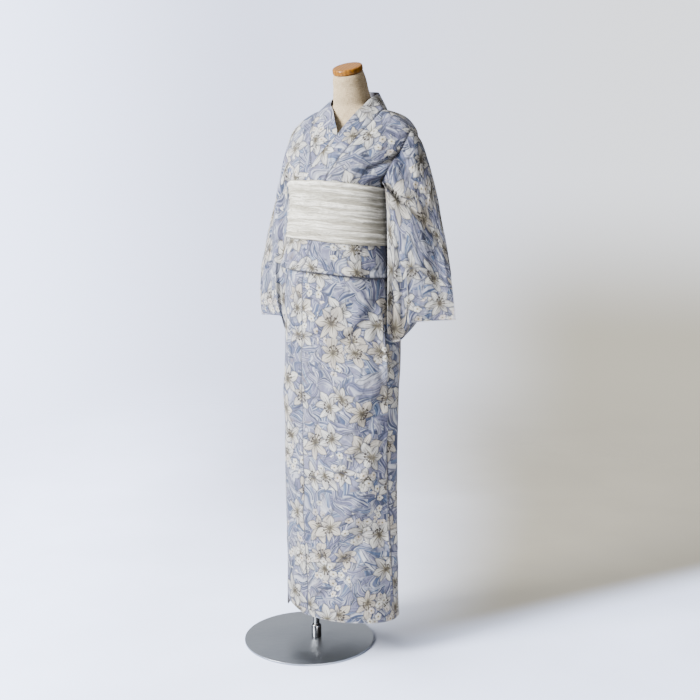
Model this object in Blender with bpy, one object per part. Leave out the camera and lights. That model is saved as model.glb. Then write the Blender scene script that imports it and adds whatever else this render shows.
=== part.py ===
"""A cotton yukata robe, worn by a limbless dress form on a round steel stand.

Metres, +Z up.  The wearer's front faces -Y and the wearer's left is +X.  The origin is the
centre of the stand's underside.  The cloth is worked out in garment coordinates, whose Z axis
runs through the middle of the skirt, and is then placed at TORSO_AT.

Every panel lies on one base skin.  A point of the skin is named by a turn, the angle round the
body from the front centre (positive toward the wearer's left), and by a level, the row of
SKIN_ROWS that it lies on.  The panels wind outward round the body like a scroll, from the edge
of the right okumi, hidden inside, to the edge of the left okumi, outside.
"""

import math

import bmesh
import bpy
from mathutils import Matrix, Vector

# ---------------------------------------------------------------- driving dimensions
WALL = 0.0015               # one layer of cotton
SEAM_GAP = 0.0003           # between pieces that are sewn edge to edge
HEM_HEIGHT = 0.089          # lower edge of the skirt above the floor
TORSO_AT = Vector((0.078, 0.048, 0.0))

BASE_RADIUS = 0.175
BASE_THICKNESS = 0.005
BASE_BEVEL = 0.0012
POLE_AT = (0.0168, 0.0105)
POLE_RADIUS = 0.0085
SOCKET_RADIUS = 0.0135
SOCKET_HEIGHT = 0.037
FORM_BOTTOM = 0.80
FORM_COLUMNS = 28
NECK_TOP = 1.505
NECK_TOP_Y = 0.028
NECK_TOP_RADIUS = 0.0375
NECK_TOP_TILT = math.radians(20)
CAP_RADIUS = 0.0388
CAP_HEIGHT = 0.0155
CAP_BEVEL = 0.0045

ROUNDNESS = 2.3             # exponent of the body's rounded cross-section
SHOULDER_SLOPE = 3.3        # how late the shoulder line falls toward its tip
WAIST_LEVEL_Z = 1.24        # below this height a level is the same thing as a height

# Layers of the waist tuck (ohashori), as distances out from the skin.
TUCK_STEP = 0.0021
TUCK_TOP = 1.105
TUCK_BOTTOM = 1.013
TUCK_SIDE_DROP = 0.015      # how much lower the tuck hangs on the wearer's left

FREE_EDGE_TURN_TOP = -62    # edge of the left okumi at the waist
FREE_EDGE_TURN_HEM = -47    # and at the hem
HIDDEN_EDGE_TURN = 60       # edge of the right okumi, inside

COLLAR_THICKNESS = 0.0025
COLLAR_CELLS = 3
NAPE_SEAM_LIFT = 0.0009     # the band's seam clears the panels' rounded nape by this much

OBI_TURN_START = 168
OBI_TURNS = 388             # degrees that the sash winds round the waist
OBI_THICKNESS = 0.0022
OBI_CLEARANCE = 0.0024
OBI_LAP_STEP = 0.0050       # the outer end lies this much further out
OBI_LAP_TURNS = (318, 352)  # degrees wound between which it climbs onto the inner end
OBI_COLUMNS = 36
OBI_CELLS = 16

PANEL_COLUMNS = 11
OKUMI_COLUMNS = 5

# ---------------------------------------------------------------- the base skin
# Height at the front centre, at the back centre and at the side, half the width,
# and how far back the side, the front and the back lie.
SKIN_ROWS = [
    # z_front z_back  z_side  half_w  y_side  y_front  y_back
    (0.060, 0.060, 0.060, 0.1570, 0.000, -0.108, 0.106),
    (0.200, 0.200, 0.200, 0.1530, -0.002, -0.111, 0.101),
    (0.350, 0.350, 0.350, 0.1495, -0.005, -0.116, 0.098),
    (0.500, 0.500, 0.500, 0.1490, -0.006, -0.118, 0.101),
    (0.650, 0.650, 0.650, 0.1500, -0.004, -0.117, 0.112),
    (0.800, 0.800, 0.800, 0.1505, -0.002, -0.113, 0.119),
    (0.900, 0.900, 0.900, 0.1485, -0.002, -0.111, 0.114),
    (0.980, 0.980, 0.980, 0.1390, -0.004, -0.107, 0.101),
    (1.050, 1.050, 1.050, 0.1270, -0.004, -0.104, 0.094),
    (1.120, 1.120, 1.120, 0.1210, -0.003, -0.100, 0.090),
    (1.180, 1.180, 1.180, 0.1225, 0.000, -0.100, 0.093),
    (1.240, 1.240, 1.240, 0.1320, 0.004, -0.101, 0.104),
    (1.270, 1.275, 1.262, 0.1480, 0.012, -0.092, 0.118),
    (1.300, 1.312, 1.282, 0.1600, 0.020, -0.076, 0.131),
    (1.330, 1.348, 1.300, 0.1690, 0.027, -0.053, 0.141),
    (1.360, 1.380, 1.317, 0.1750, 0.031, -0.028, 0.148),
    (1.385, 1.405, 1.332, 0.1780, 0.034, -0.003, 0.151),
    (1.403, 1.411, 1.344, 0.1790, 0.036, 0.017, 0.130),
    (1.414, 1.415, 1.351, 0.1790, 0.036, 0.034, 0.090),
    (1.418, 1.418, 1.354, 0.1790, 0.036, 0.048, 0.048),
]
CHEST_LEVEL = 11            # the row at WAIST_LEVEL_Z
NAPE_LEVEL = 16             # top of the centre back seam
RIDGE_LEVEL = 19            # the shoulder line

# Soft folds pressed into every layer: a trough (negative depth) or ridge along a line
# from its low end to its high end.
FOLDS = [
    # turn_low z_low  turn_high z_high  depth   width
    (89, 0.24, 73, 0.90, 0.0080, 0.013),
    (103, 0.20, 92, 0.90, -0.0065, 0.020),
    (-34, 0.30, 30, 0.93, -0.0035, 0.026),
    (-20, 0.14, 52, 0.62, -0.0030, 0.024),
    (20, 0.12, 66, 0.44, 0.0030, 0.020),
    (-46, 0.52, 2, 0.97, 0.0025, 0.024),
    (-78, 0.16, -66, 0.84, -0.0040, 0.024),
    (-100, 0.20, -92, 0.90, 0.0045, 0.022),
    (-128, 0.12, -122, 0.80, -0.0045, 0.028),
    (-156, 0.24, -150, 0.93, 0.0030, 0.026),
    (172, 0.12, 168, 0.78, -0.0040, 0.028),
    (140, 0.20, 146, 0.95, 0.0040, 0.026),
    (122, 0.12, 118, 0.70, -0.0045, 0.026),
    (60, 1.23, 34, 1.33, -0.0035, 0.018),
    (-58, 1.23, -36, 1.32, -0.0030, 0.018),
    (150, 1.22, 158, 1.34, -0.0040, 0.022),
    (-148, 1.22, -160, 1.33, -0.0035, 0.022),
]
FOLD_FADE = 0.08            # height over which a fold dies away at each end

# ---------------------------------------------------------------- panel outlines
# Distance of the front panel's inner seam from the front centre line, for the left panel.
# The right panel is its mirror image.
SKIRT_SEAM = [
    # z      x
    (0.060, -0.036),
    (0.300, -0.041),
    (0.550, -0.045),
    (0.930, -0.048),
    (1.030, -0.044),
    (1.110, -0.042),
]
BODICE_SEAM = [
    # z      x, on the outer layer of the tuck and above it
    (0.990, -0.040),
    (1.028, -0.036),
    (1.070, -0.022),
    (1.110, -0.010),
    (1.150, -0.002),
    (1.190, 0.007),
    (1.240, 0.0185),
]
SIDE_SEAM = [
    # z      turn
    (0.060, 92),
    (0.300, 88),
    (0.550, 82),
    (0.830, 74),
    (0.980, 80),
    (1.110, 88),
    (1.190, 84),
]
# From the chest to the shoulder line: the levels of the rows, and how far from the
# centre line the collar seam and the armhole seam lie.
FRONT_YOKE = [
    # level  collar  armhole
    (11, 0.0185, 0.127),
    (12, 0.0310, 0.140),
    (13, 0.0455, 0.152),
    (14, 0.0620, 0.162),
    (15, 0.0745, 0.1680),
    (16, 0.0850, 0.1715),
    (17, 0.0915, 0.1735),
    (18, 0.0935, 0.1748),
]
SHOULDER_POINTS = (19, 0.0935, 0.1750)
BACK_YOKE = [
    # level  collar  armhole
    (18.5, 0.0880, 0.1749),
    (18, 0.0800, 0.1746),
    (17.5, 0.0690, 0.1741),
    (17, 0.0550, 0.1732),
    (16.5, 0.0300, 0.1722),
    (16, 0.0, 0.1705),
    (15, 0.0, 0.1665),
    (14, 0.0, 0.161),
    (13, 0.0, 0.151),
    (12, 0.0, 0.139),
    (11, 0.0, 0.126),
]

# Height of the hem round the skirt; the left okumi's front corner is lifted.
HEM_LINE = [
    # turn   z of the left pieces
    (-62, 0.134),
    (-47, 0.122),
    (-20, 0.100),
    (0, 0.098),
    (40, 0.101),
    (70, 0.096),
    (90, 0.091),
    (180, 0.089),
]
HEM_FADE_TOP = 0.55         # the hem line's shape has died away by this height
UNDER_FRONT_LIFT = 0.012    # the hidden front is tucked higher than the one over it

# Heights of the rows of the skirt layer, and of the outer layer above the tuck.
SKIRT_HEIGHTS = [HEM_HEIGHT, 0.20, 0.32, 0.45, 0.58, 0.70, 0.80, 0.89, 0.955, 1.03, 1.095]
OUTER_HEIGHTS = [1.028, 1.07, 1.11, 1.15, 1.19]

# How far one turn of the wrap moves a layer out, and how far the tuck lifts the outer layer.
WRAP_PITCH = [
    # z      pitch
    (0.060, 0.0036),
    (0.900, 0.0036),
    (0.975, 0.0072),
    (1.125, 0.0072),
    (1.190, 0.0042),
    (1.352, 0.0042),
    (1.380, 0.0008),
]
TUCK_LIFT = [
    # z      lift
    (1.110, 2 * TUCK_STEP),
    (1.150, TUCK_STEP),
    (1.190, 0.0),
]

# The inner edge of the collar, beside the seam station of the same number: how far
# inward and up it lies on the chest, then its place round the neck.
COLLAR_ON_CHEST = [
    # seam_z  inward  up
    (1.130, 0.053, 0.013),
    (1.170, 0.053, 0.013),
    (1.205, 0.053, 0.014),
    (1.240, 0.051, 0.019),
    (1.270, 0.050, 0.022),
    (1.300, 0.048, 0.024),
]
COLLAR_ROUND_NECK = [
    # level  x_seam  x_left  x_right y       z      of the inner edge
    (14, 0.0620, 0.0130, -0.0110, -0.040, 1.352),
    (15, 0.0745, 0.0300, 0.0070, -0.022, 1.383),
    (16, 0.0850, 0.0420, 0.0275, 0.002, 1.410),
    (17, 0.0915, 0.0505, 0.0475, 0.022, 1.426),
    (18, 0.0935, 0.0540, 0.0530, 0.036, 1.437),
    (19, 0.0935, 0.0550, 0.0550, 0.052, 1.444),
]
COLLAR_ROUND_NAPE = [
    # level  x_seam  x_left  x_right y       z
    (18.5, 0.0880, 0.0545, 0.0545, 0.070, 1.449),
    (18, 0.0800, 0.0500, 0.0500, 0.089, 1.453),
    (17.5, 0.0690, 0.0430, 0.0430, 0.104, 1.456),
    (17, 0.0550, 0.0340, 0.0340, 0.116, 1.458),
    (16.5, 0.0300, 0.0185, 0.0185, 0.124, 1.459),
]
COLLAR_NAPE_MIDDLE = (16, 0.0, 0.0, 0.0, 0.127, 1.4595)

# ---------------------------------------------------------------- sleeves
# The sleeve's top fold below the shoulder tip, down to the cuff, as (x, y, z).
SLEEVE_TOP_FOLD = {
    1: [(0.1940, 0.041, 1.3380), (0.2190, 0.042, 1.2800), (0.2433, 0.038, 1.2200),
        (0.2630, 0.033, 1.1600), (0.2765, 0.029, 1.1200)],
    -1: [(0.1890, 0.042, 1.3350), (0.2060, 0.046, 1.2750), (0.2210, 0.048, 1.2150),
         (0.2350, 0.048, 1.1550), (0.2470, 0.047, 1.1100)],
}
CUFF_BOW = {1: 0.003, -1: 0.022}    # how far the cuff's edge bows outward
ARMPIT_GAP = 0.0010         # the seam's end is eased away from the panel's edge
CUFF_MOUTH = 0.007          # half the gap between the cuff's two edges
# Free inner edges (furi) below the armhole, at the front and at the back.
FURI_ROWS = {
    # z      x_front y_front x_back  y_back
    1: [
        (1.230, 0.1500, -0.046, 0.1480, 0.088),
        (1.190, 0.1580, -0.050, 0.1560, 0.100),
        (1.130, 0.1620, -0.051, 0.1600, 0.104),
        (1.050, 0.1640, -0.051, 0.1640, 0.108),
        (0.970, 0.1640, -0.051, 0.1660, 0.110),
        (0.910, 0.1640, -0.051, 0.1660, 0.100),
        (0.876, 0.1640, -0.050, 0.1660, 0.070),
    ],
    -1: [
        (1.230, 0.1500, -0.044, 0.1480, 0.088),
        (1.190, 0.1600, -0.034, 0.1560, 0.100),
        (1.130, 0.1620, -0.022, 0.1600, 0.104),
        (1.050, 0.1660, -0.012, 0.1640, 0.108),
        (0.970, 0.1690, -0.010, 0.1660, 0.110),
        (0.910, 0.1690, -0.010, 0.1660, 0.100),
        (0.872, 0.1690, -0.008, 0.1660, 0.080),
    ],
}
SLEEVE_BOTTOM = {
    # along   x       y       z
    1: [
        (0.00, 0.1640, -0.044, 0.8560),
        (0.07, 0.1700, -0.040, 0.8440),
        (0.15, 0.1810, -0.034, 0.8420),
        (0.22, 0.1920, -0.028, 0.8480),
        (0.28, 0.2020, -0.020, 0.8700),
        (0.34, 0.2130, -0.014, 0.8890),
        (0.60, 0.2555, 0.003, 0.8960),
        (1.00, 0.3160, 0.024, 0.9010),
    ],
    -1: [
        (0.00, 0.1690, 0.002, 0.8480),
        (0.07, 0.1750, 0.004, 0.8360),
        (0.15, 0.1850, 0.008, 0.8340),
        (0.22, 0.1940, 0.012, 0.8420),
        (0.28, 0.2020, 0.016, 0.8560),
        (0.34, 0.2110, 0.020, 0.8680),
        (0.60, 0.2440, 0.030, 0.8670),
        (1.00, 0.2860, 0.038, 0.8640),
    ],
}
SLEEVE_SHARES = (0, 0.07, 0.15, 0.22, 0.28, 0.34, 0.44, 0.55, 0.67, 0.78, 0.89, 1)
SLEEVE_BULGE = {(1, -1): 0.030, (1, 1): 0.024, (-1, -1): 0.022, (-1, 1): 0.022}
SLEEVE_PLEAT_DEPTH = 0.012
SLEEVE_PLEAT_AT = (0.16, 0.31)      # share across at its upper end and at the bottom

# ---------------------------------------------------------------- the sash
OBI_EDGES = [
    # turn   z_bottom z_top
    (-180, 1.082, 1.220),
    (-75, 1.088, 1.222),
    (-40, 1.093, 1.238),
    (0, 1.091, 1.241),
    (45, 1.083, 1.232),
    (90, 1.076, 1.220),
    (180, 1.082, 1.222),
]
# Gathers of the sash: each runs round it as an uneven ridge.
OBI_GATHERS = [
    # share_of_height  wander  turns_of_wander  phase  height
    (0.050, 0.010, 2, 0.3, 0.0018),
    (0.165, 0.022, 1, 2.1, 0.0024),
    (0.280, 0.016, 3, 4.0, 0.0017),
    (0.395, 0.026, 1, 0.9, 0.0025),
    (0.510, 0.018, 2, 5.2, 0.0018),
    (0.630, 0.028, 1, 3.3, 0.0026),
    (0.750, 0.018, 3, 1.4, 0.0018),
    (0.860, 0.022, 2, 2.8, 0.0024),
    (0.955, 0.010, 1, 4.6, 0.0017),
]
OBI_GATHER_WIDTH = 0.040    # share of the height

# ---------------------------------------------------------------- the dress form
FORM_ROWS = [
    # z_mid  z_side  half_w  y_side  y_front  y_back roundness
    (0.800, 0.800, 0.108, 0.000, -0.072, 0.076, 2.2),
    (0.806, 0.806, 0.114, 0.000, -0.078, 0.082, 2.2),
    (0.860, 0.860, 0.126, -0.002, -0.086, 0.088, 2.2),
    (0.940, 0.940, 0.122, -0.003, -0.084, 0.086, 2.2),
    (1.020, 1.020, 0.108, -0.003, -0.080, 0.078, 2.2),
    (1.100, 1.100, 0.099, -0.002, -0.077, 0.070, 2.2),
    (1.170, 1.170, 0.102, 0.000, -0.080, 0.074, 2.2),
    (1.230, 1.230, 0.114, 0.004, -0.082, 0.086, 2.2),
    (1.280, 1.265, 0.130, 0.014, -0.066, 0.100, 2.2),
    (1.325, 1.295, 0.148, 0.024, -0.036, 0.106, 2.1),
    (1.360, 1.325, 0.158, 0.031, -0.012, 0.107, 1.8),
    (1.3858, 1.3628, 0.160, 0.034, -0.002, 0.105, 1.4),
    (1.4008, 1.3848, 0.142, 0.037, 0.000, 0.104, 1.2),
    (1.408, 1.399, 0.114, 0.044, 0.002, 0.104, 1.3),
    (1.414, 1.410, 0.080, 0.052, 0.004, 0.104, 1.6),
    (1.424, 1.424, 0.0525, 0.050, 0.005, 0.099, 2.0),
    (1.442, 1.442, 0.0485, 0.046, -0.001, 0.094, 2.0),
    (1.470, 1.470, 0.044, 0.040, -0.004, 0.084, 2.0),
]

# ---------------------------------------------------------------- colours and finish
MATERIALS = {
    # name: (colour, roughness, metallic)
    "printed_cotton": ((0.56, 0.61, 0.76, 1), 0.85, 0.0),
    "sash_cotton": ((0.84, 0.82, 0.76, 1), 0.9, 0.0),
    "linen": ((0.66, 0.56, 0.46, 1), 0.9, 0.0),
    "turned_wood": ((0.55, 0.27, 0.09, 1), 0.45, 0.0),
    "brushed_steel": ((0.42, 0.45, 0.48, 1), 0.35, 1.0),
    "polished_steel": ((0.62, 0.63, 0.65, 1), 0.15, 1.0),
}


def make_material(name):
    """A plain Principled material of one of the MATERIALS."""
    colour, roughness, metallic = MATERIALS[name]
    material = bpy.data.materials.new(name)
    material.use_nodes = True
    shader = material.node_tree.nodes["Principled BSDF"]
    shader.inputs["Base Color"].default_value = colour
    shader.inputs["Roughness"].default_value = roughness
    shader.inputs["Metallic"].default_value = metallic
    return material


def add_object(name, mesh_builder, material_name, location=(0, 0, 0)):
    """Turn a bmesh into a named object with its own material."""
    mesh = bpy.data.meshes.new(name)
    mesh_builder.to_mesh(mesh)
    mesh_builder.free()
    mesh.materials.append(make_material(material_name))
    part = bpy.data.objects.new(name, mesh)
    part.location = location
    bpy.context.scene.collection.objects.link(part)
    mesh.shade_smooth()
    mesh.set_sharp_from_angle(angle=math.radians(40))
    return part


# ---------------------------------------------------------------- small mathematics
def read_table(table, where, column=1):
    """Linear reading of a column of a table whose first column rises."""
    if where <= table[0][0]:
        return table[0][column]
    for low, high in zip(table, table[1:]):
        if where <= high[0]:
            share = (where - low[0]) / (high[0] - low[0])
            return low[column] + share * (high[column] - low[column])
    return table[-1][column]


def smooth_read(table, where, column):
    """Smooth (Catmull-Rom) reading of a column at a fractional row number."""
    last = len(table) - 1
    row = min(max(int(math.floor(where)), 0), last - 1)
    t = where - row
    p1 = table[row][column]
    p2 = table[row + 1][column]
    p0 = table[row - 1][column] if row > 0 else 2 * p1 - p2
    p3 = table[row + 2][column] if row + 2 <= last else 2 * p2 - p1
    slope1 = (p2 - p0) / 2
    slope2 = (p3 - p1) / 2
    return (
        (2 * t**3 - 3 * t**2 + 1) * p1
        + (t**3 - 2 * t**2 + t) * slope1
        + (-2 * t**3 + 3 * t**2) * p2
        + (t**3 - t**2) * slope2
    )


def smooth_step(low, high, value):
    """0 below low, 1 above high, and an S-curve between."""
    share = min(max((value - low) / (high - low), 0.0), 1.0)
    return share * share * (3 - 2 * share)


def level_at(height):
    """The level whose front height is the given one."""
    low, high = 0.0, float(RIDGE_LEVEL)
    for _ in range(30):
        middle = (low + high) / 2
        if smooth_read(SKIN_ROWS, middle, 0) < height:
            low = middle
        else:
            high = middle
    return (low + high) / 2


# ---------------------------------------------------------------- the skin's surface
def ring_place(turn, half_width, y_side, y_front, y_back, roundness=ROUNDNESS):
    """Across and depth of a point of a rounded ring, and its share of the half width."""
    across = math.sin(math.radians(turn))
    forward = math.cos(math.radians(turn))
    reach = (abs(across) ** roundness + abs(forward) ** roundness) ** (-1 / roundness)
    depth = (y_side - y_front) if forward > 0 else (y_back - y_side)
    return half_width * across * reach, y_side - depth * forward * reach, abs(across) * reach


def skin_point(turn, level):
    """A point of the base skin, in garment coordinates."""
    z_front, z_back, z_side, half_width, y_side, y_front, y_back = (
        smooth_read(SKIN_ROWS, level, column) for column in range(7)
    )
    x, y, share = ring_place(turn, half_width, y_side, y_front, y_back)
    z_middle = z_front if math.cos(math.radians(turn)) > 0 else z_back
    return Vector((x, y, z_middle + (z_side - z_middle) * share**SHOULDER_SLOPE))


def skin_normal(turn, level):
    """The outward direction of the base skin."""
    step_turn = 0.6
    step_level = 0.03
    round_it = skin_point(turn + step_turn, level) - skin_point(turn - step_turn, level)
    high = min(level + step_level, RIDGE_LEVEL)
    up_it = skin_point(turn, high) - skin_point(turn, max(high - 2 * step_level, 0.0))
    return round_it.cross(up_it).normalized()


def turn_at(x, level, back=False):
    """The turn at which the ring of a level is the given distance across."""
    half_width = smooth_read(SKIN_ROWS, level, 3)
    low, high = 0.0, 90.0
    for _ in range(26):
        middle = (low + high) / 2
        across, _, _ = ring_place(middle, half_width, 0.0, -0.1, 0.1)
        if across < abs(x):
            low = middle
        else:
            high = middle
    turn = math.copysign((low + high) / 2, x)
    return math.copysign(180 - abs(turn), x) if back else turn


def fold_depth(turn, height):
    """How far the folds push the cloth out at a place."""
    total = 0.0
    for turn_low, z_low, turn_high, z_high, depth, width in FOLDS:
        if not z_low - FOLD_FADE < height < z_high + FOLD_FADE:
            continue
        share = (height - z_low) / (z_high - z_low)
        away = turn - (turn_low + share * (turn_high - turn_low))
        away = (away + 180) % 360 - 180
        distance = math.radians(away) * 0.13
        strength = smooth_step(z_low - FOLD_FADE, z_low + FOLD_FADE, height)
        strength *= 1 - smooth_step(z_high - FOLD_FADE, z_high + FOLD_FADE, height)
        total += depth * strength * math.exp(-((distance / width) ** 2))
    return total


def wrap_turn(side, turn):
    """Degrees wound since the hidden edge; side is 1 for left pieces, -1 for right ones."""
    return (360 if side > 0 else 0) + HIDDEN_EDGE_TURN - turn


def cloth_point(side, turn, level, out):
    """A point at a distance out from the place where a piece's layer lies."""
    place = skin_point(turn, level)
    height = place.z
    wrap = read_table(WRAP_PITCH, height) * wrap_turn(side, turn) / 360
    return place + skin_normal(turn, level) * (out + wrap + fold_depth(turn, height))


# ---------------------------------------------------------------- walls of cloth
def wall_from_grid(faces_and_backs):
    """A closed wall whose two sides are the given rows of (face point, back point) pairs."""
    rows = len(faces_and_backs)
    columns = len(faces_and_backs[0])
    builder = bmesh.new()
    bmesh.ops.create_grid(builder, x_segments=columns - 1, y_segments=rows - 1, size=1)
    number = builder.verts.layers.int.new("number")
    for index, vertex in enumerate(builder.verts):
        vertex[number] = index
        vertex.co = faces_and_backs[index // columns][index % columns][0]
    grown = bmesh.ops.extrude_face_region(builder, geom=builder.faces[:], use_keep_orig=True)
    for vertex in grown["geom"]:
        if isinstance(vertex, bmesh.types.BMVert):
            row, column = divmod(vertex[number], columns)
            vertex.co = faces_and_backs[row][column][1]
    bmesh.ops.recalc_face_normals(builder, faces=builder.faces[:])
    return builder


def spread(start, end, cells):
    """Evenly spaced numbers from start to end."""
    return [start + (end - start) * cell / cells for cell in range(cells + 1)]


def hem_lift(side, turn, height):
    """How far the rows of the skirt are lifted to follow the hem, dying away upward."""
    lift = read_table(HEM_LINE, turn) - HEM_HEIGHT
    if side < 0:
        lift = UNDER_FRONT_LIFT * smooth_step(-75, -45, turn)
        lift += max(read_table(HEM_LINE, turn) - HEM_HEIGHT, 0) * smooth_step(-70, -48, turn)
    return lift * (1 - smooth_step(HEM_HEIGHT, HEM_FADE_TOP, height))


def tuck_drop(turn):
    """How much lower the tuck hangs toward the wearer's left."""
    return TUCK_SIDE_DROP * smooth_step(-10, 80, turn) * (1 - 0.5 * smooth_step(90, 180, turn))


def lower_rows():
    """Rows from the hem to the chest: (layer, height of face, out, height of back, out)."""
    rows = []
    for height in SKIRT_HEIGHTS:
        rows.append(("skirt", height, WALL, height, 0.0))
    middle = TUCK_STEP
    rows.append(("skirt", TUCK_TOP - WALL, (middle + WALL) / 2, TUCK_TOP, (middle + WALL) / 2))
    rows.append(("tuck", 1.095, middle, 1.095, middle + WALL))
    rows.append(("tuck", 1.028, middle, 1.028, middle + WALL))
    outer = 2 * TUCK_STEP
    fold_out = (middle + WALL + outer) / 2
    rows.append(("tuck", TUCK_BOTTOM, fold_out, TUCK_BOTTOM + WALL, fold_out))
    for height in OUTER_HEIGHTS:
        lift = read_table(TUCK_LIFT, height)
        rows.append(("outer", height, lift + WALL, height, lift))
    return rows


LOWER_ROWS = lower_rows()


def lower_pair(side, turn_of, row):
    """Face and back points of one place of the lower rows."""
    layer, z_face, out_face, z_back, out_back = row
    turn = turn_of(layer, (z_face + z_back) / 2)
    pair = []
    for height, out in ((z_face, out_face), (z_back, out_back)):
        if layer == "skirt":
            height += hem_lift(side, turn, height)
        if layer != "skirt" or height > 1.0:
            share = smooth_step(TUCK_TOP, TUCK_BOTTOM + 0.02, height)
            height -= tuck_drop(turn) * (share if layer != "skirt" else 0)
        pair.append(cloth_point(side, turn, level_at(height), out))
    return tuple(pair)


def seam_turn(side, layer, height):
    """Turn of the seam between a front panel and its okumi or collar."""
    table = BODICE_SEAM if layer == "outer" else SKIRT_SEAM
    return turn_at(side * read_table(table, height), level_at(height))


def side_turn(side, height):
    return side * read_table(SIDE_SEAM, height)


def edge_shift(gap, radius=0.14):
    """A small distance along the cloth, as a turn."""
    return math.degrees(gap / radius)


def body_panel(side):
    """One body panel: front and back in one length of cloth, over the shoulder."""
    half_gap = edge_shift(SEAM_GAP / 2)
    rows = []
    for row in LOWER_ROWS:
        pairs = []
        for share in spread(0, 1, PANEL_COLUMNS):

            def turn_of(layer, height, share=share):
                start = seam_turn(side, layer, height) + side * half_gap
                end = side_turn(side, height) - side * half_gap
                return start + (end - start) * share

            pairs.append(lower_pair(side, turn_of, row))
        rows.append(pairs)

    def yoke_row(level, collar_x, armhole_x, back):
        start = turn_at(side * (collar_x + SEAM_GAP / 2), level, back)
        if back and collar_x == 0:
            start = side * (180 - half_gap)
        end = turn_at(side * (armhole_x - SEAM_GAP / 2), level, back)
        turns = spread(start, end, PANEL_COLUMNS)
        rows.append([(cloth_point(side, t, level, WALL), cloth_point(side, t, level, 0)) for t in turns])

    for level, collar_x, armhole_x in FRONT_YOKE:
        yoke_row(level, collar_x, armhole_x, back=False)
    yoke_row(*SHOULDER_POINTS, back=False)
    for level, collar_x, armhole_x in BACK_YOKE:
        yoke_row(level, collar_x, armhole_x, back=True)

    for row in reversed(LOWER_ROWS):
        pairs = []
        for share in spread(0, 1, PANEL_COLUMNS):

            def turn_of(layer, height, share=share):
                start = side * (180 - half_gap)
                end = side_turn(side, height) + side * half_gap
                return start + (end - start) * share

            pairs.append(lower_pair(side, turn_of, row))
        rows.append(pairs)
    return wall_from_grid(rows)


def free_edge_turn(side, height):
    """Turn of an okumi's free edge."""
    if side < 0:
        return HIDDEN_EDGE_TURN
    share = smooth_step(HEM_HEIGHT, 0.75, height)
    return FREE_EDGE_TURN_HEM + (FREE_EDGE_TURN_TOP - FREE_EDGE_TURN_HEM) * share


def okumi(side):
    """The narrow overlap panel sewn to a front, with its share of the tuck."""
    half_gap = edge_shift(SEAM_GAP / 2)
    rows = []
    for row in LOWER_ROWS:
        if row[0] == "outer" and row[1] > TUCK_TOP + 0.01:
            continue
        pairs = []
        for share in spread(0, 1, OKUMI_COLUMNS):

            def turn_of(layer, height, share=share):
                start = seam_turn(side, layer, height) - side * half_gap
                end = free_edge_turn(side, height)
                return start + (end - start) * share

            pairs.append(lower_pair(side, turn_of, row))
        rows.append(pairs)
    return wall_from_grid(rows)


def collar():
    """The neck band: one folded strip from the left waist, round the nape, to the right."""
    half_gap = SEAM_GAP / 2

    def chest_station(side, seam_z, inward, up):
        seam_x = side * (read_table(BODICE_SEAM, seam_z) if seam_z <= WAIST_LEVEL_Z else 0)
        if seam_z > WAIST_LEVEL_Z:
            seam_x = side * read_table([row[:2] for row in FRONT_YOKE], level_at(seam_z))
        lift = read_table(TUCK_LIFT, seam_z)
        pairs = []
        for share in spread(0, 1, COLLAR_CELLS):
            x = seam_x - side * (half_gap + inward * share)
            height = seam_z + up * share
            level = level_at(height)
            turn = turn_at(x, level)
            face = cloth_point(side, turn, level, lift + COLLAR_THICKNESS)
            pairs.append((face, cloth_point(side, turn, level, lift)))
        return pairs

    def neck_station(side, back, level, x_seam, x_left, x_right, y, z):
        x = x_left if side > 0 else x_right
        seam_turn_here = turn_at(side * (x_seam - half_gap), level, back)
        if x_seam == 0:
            seam_turn_here = 180.0
        seam = cloth_point(side, seam_turn_here, level, 0)
        seam_face = cloth_point(side, seam_turn_here, level, COLLAR_THICKNESS)
        if back and level <= NAPE_LEVEL + 0.5:
            seam.z += NAPE_SEAM_LIFT
            seam_face.z += NAPE_SEAM_LIFT
        edge = Vector((side * x, y, z))
        wrap = read_table(WRAP_PITCH, z) * wrap_turn(side, seam_turn_here) / 360
        outward = Vector((edge.x, edge.y - 0.054, 0.0))
        outward = outward.normalized() if outward.length > 0 else Vector((0, 1, 0))
        outward = (outward + Vector((0, 0, -0.15))).normalized()
        edge = edge + outward * wrap
        edge_face = edge + outward * COLLAR_THICKNESS
        if level <= 15 and not back:
            normal = skin_normal(seam_turn_here, level)
            edge_face = edge + normal * COLLAR_THICKNESS
        pairs = []
        for share in spread(0, 1, COLLAR_CELLS):
            pairs.append((seam_face.lerp(edge_face, share), seam.lerp(edge, share)))
        return pairs

    rows = [chest_station(1, *row) for row in COLLAR_ON_CHEST]
    rows += [neck_station(1, False, *row) for row in COLLAR_ROUND_NECK]
    rows += [neck_station(1, True, *row) for row in COLLAR_ROUND_NAPE]
    rows.append(neck_station(1, True, *COLLAR_NAPE_MIDDLE))
    rows += [neck_station(-1, True, *row) for row in reversed(COLLAR_ROUND_NAPE)]
    rows += [neck_station(-1, False, *row) for row in reversed(COLLAR_ROUND_NECK)]
    rows += [chest_station(-1, *row) for row in reversed(COLLAR_ON_CHEST)]
    return wall_from_grid(rows)


# ---------------------------------------------------------------- sleeves
def path_at(points, shares, where):
    """Smooth reading of a path whose points lie at the given shares of its length."""
    for number in range(len(shares) - 1):
        if where <= shares[number + 1]:
            low, high = shares[number], shares[number + 1]
            row = number + (where - low) / (high - low)
            return Vector([smooth_read(points, row, axis) for axis in range(3)])
    return Vector(points[-1])


def length_shares(points):
    """The share of a path's length at which each of its points lies."""
    lengths = [0.0]
    for start, end in zip(points, points[1:]):
        lengths.append(lengths[-1] + (end - start).length)
    return [length / lengths[-1] for length in lengths]


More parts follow.
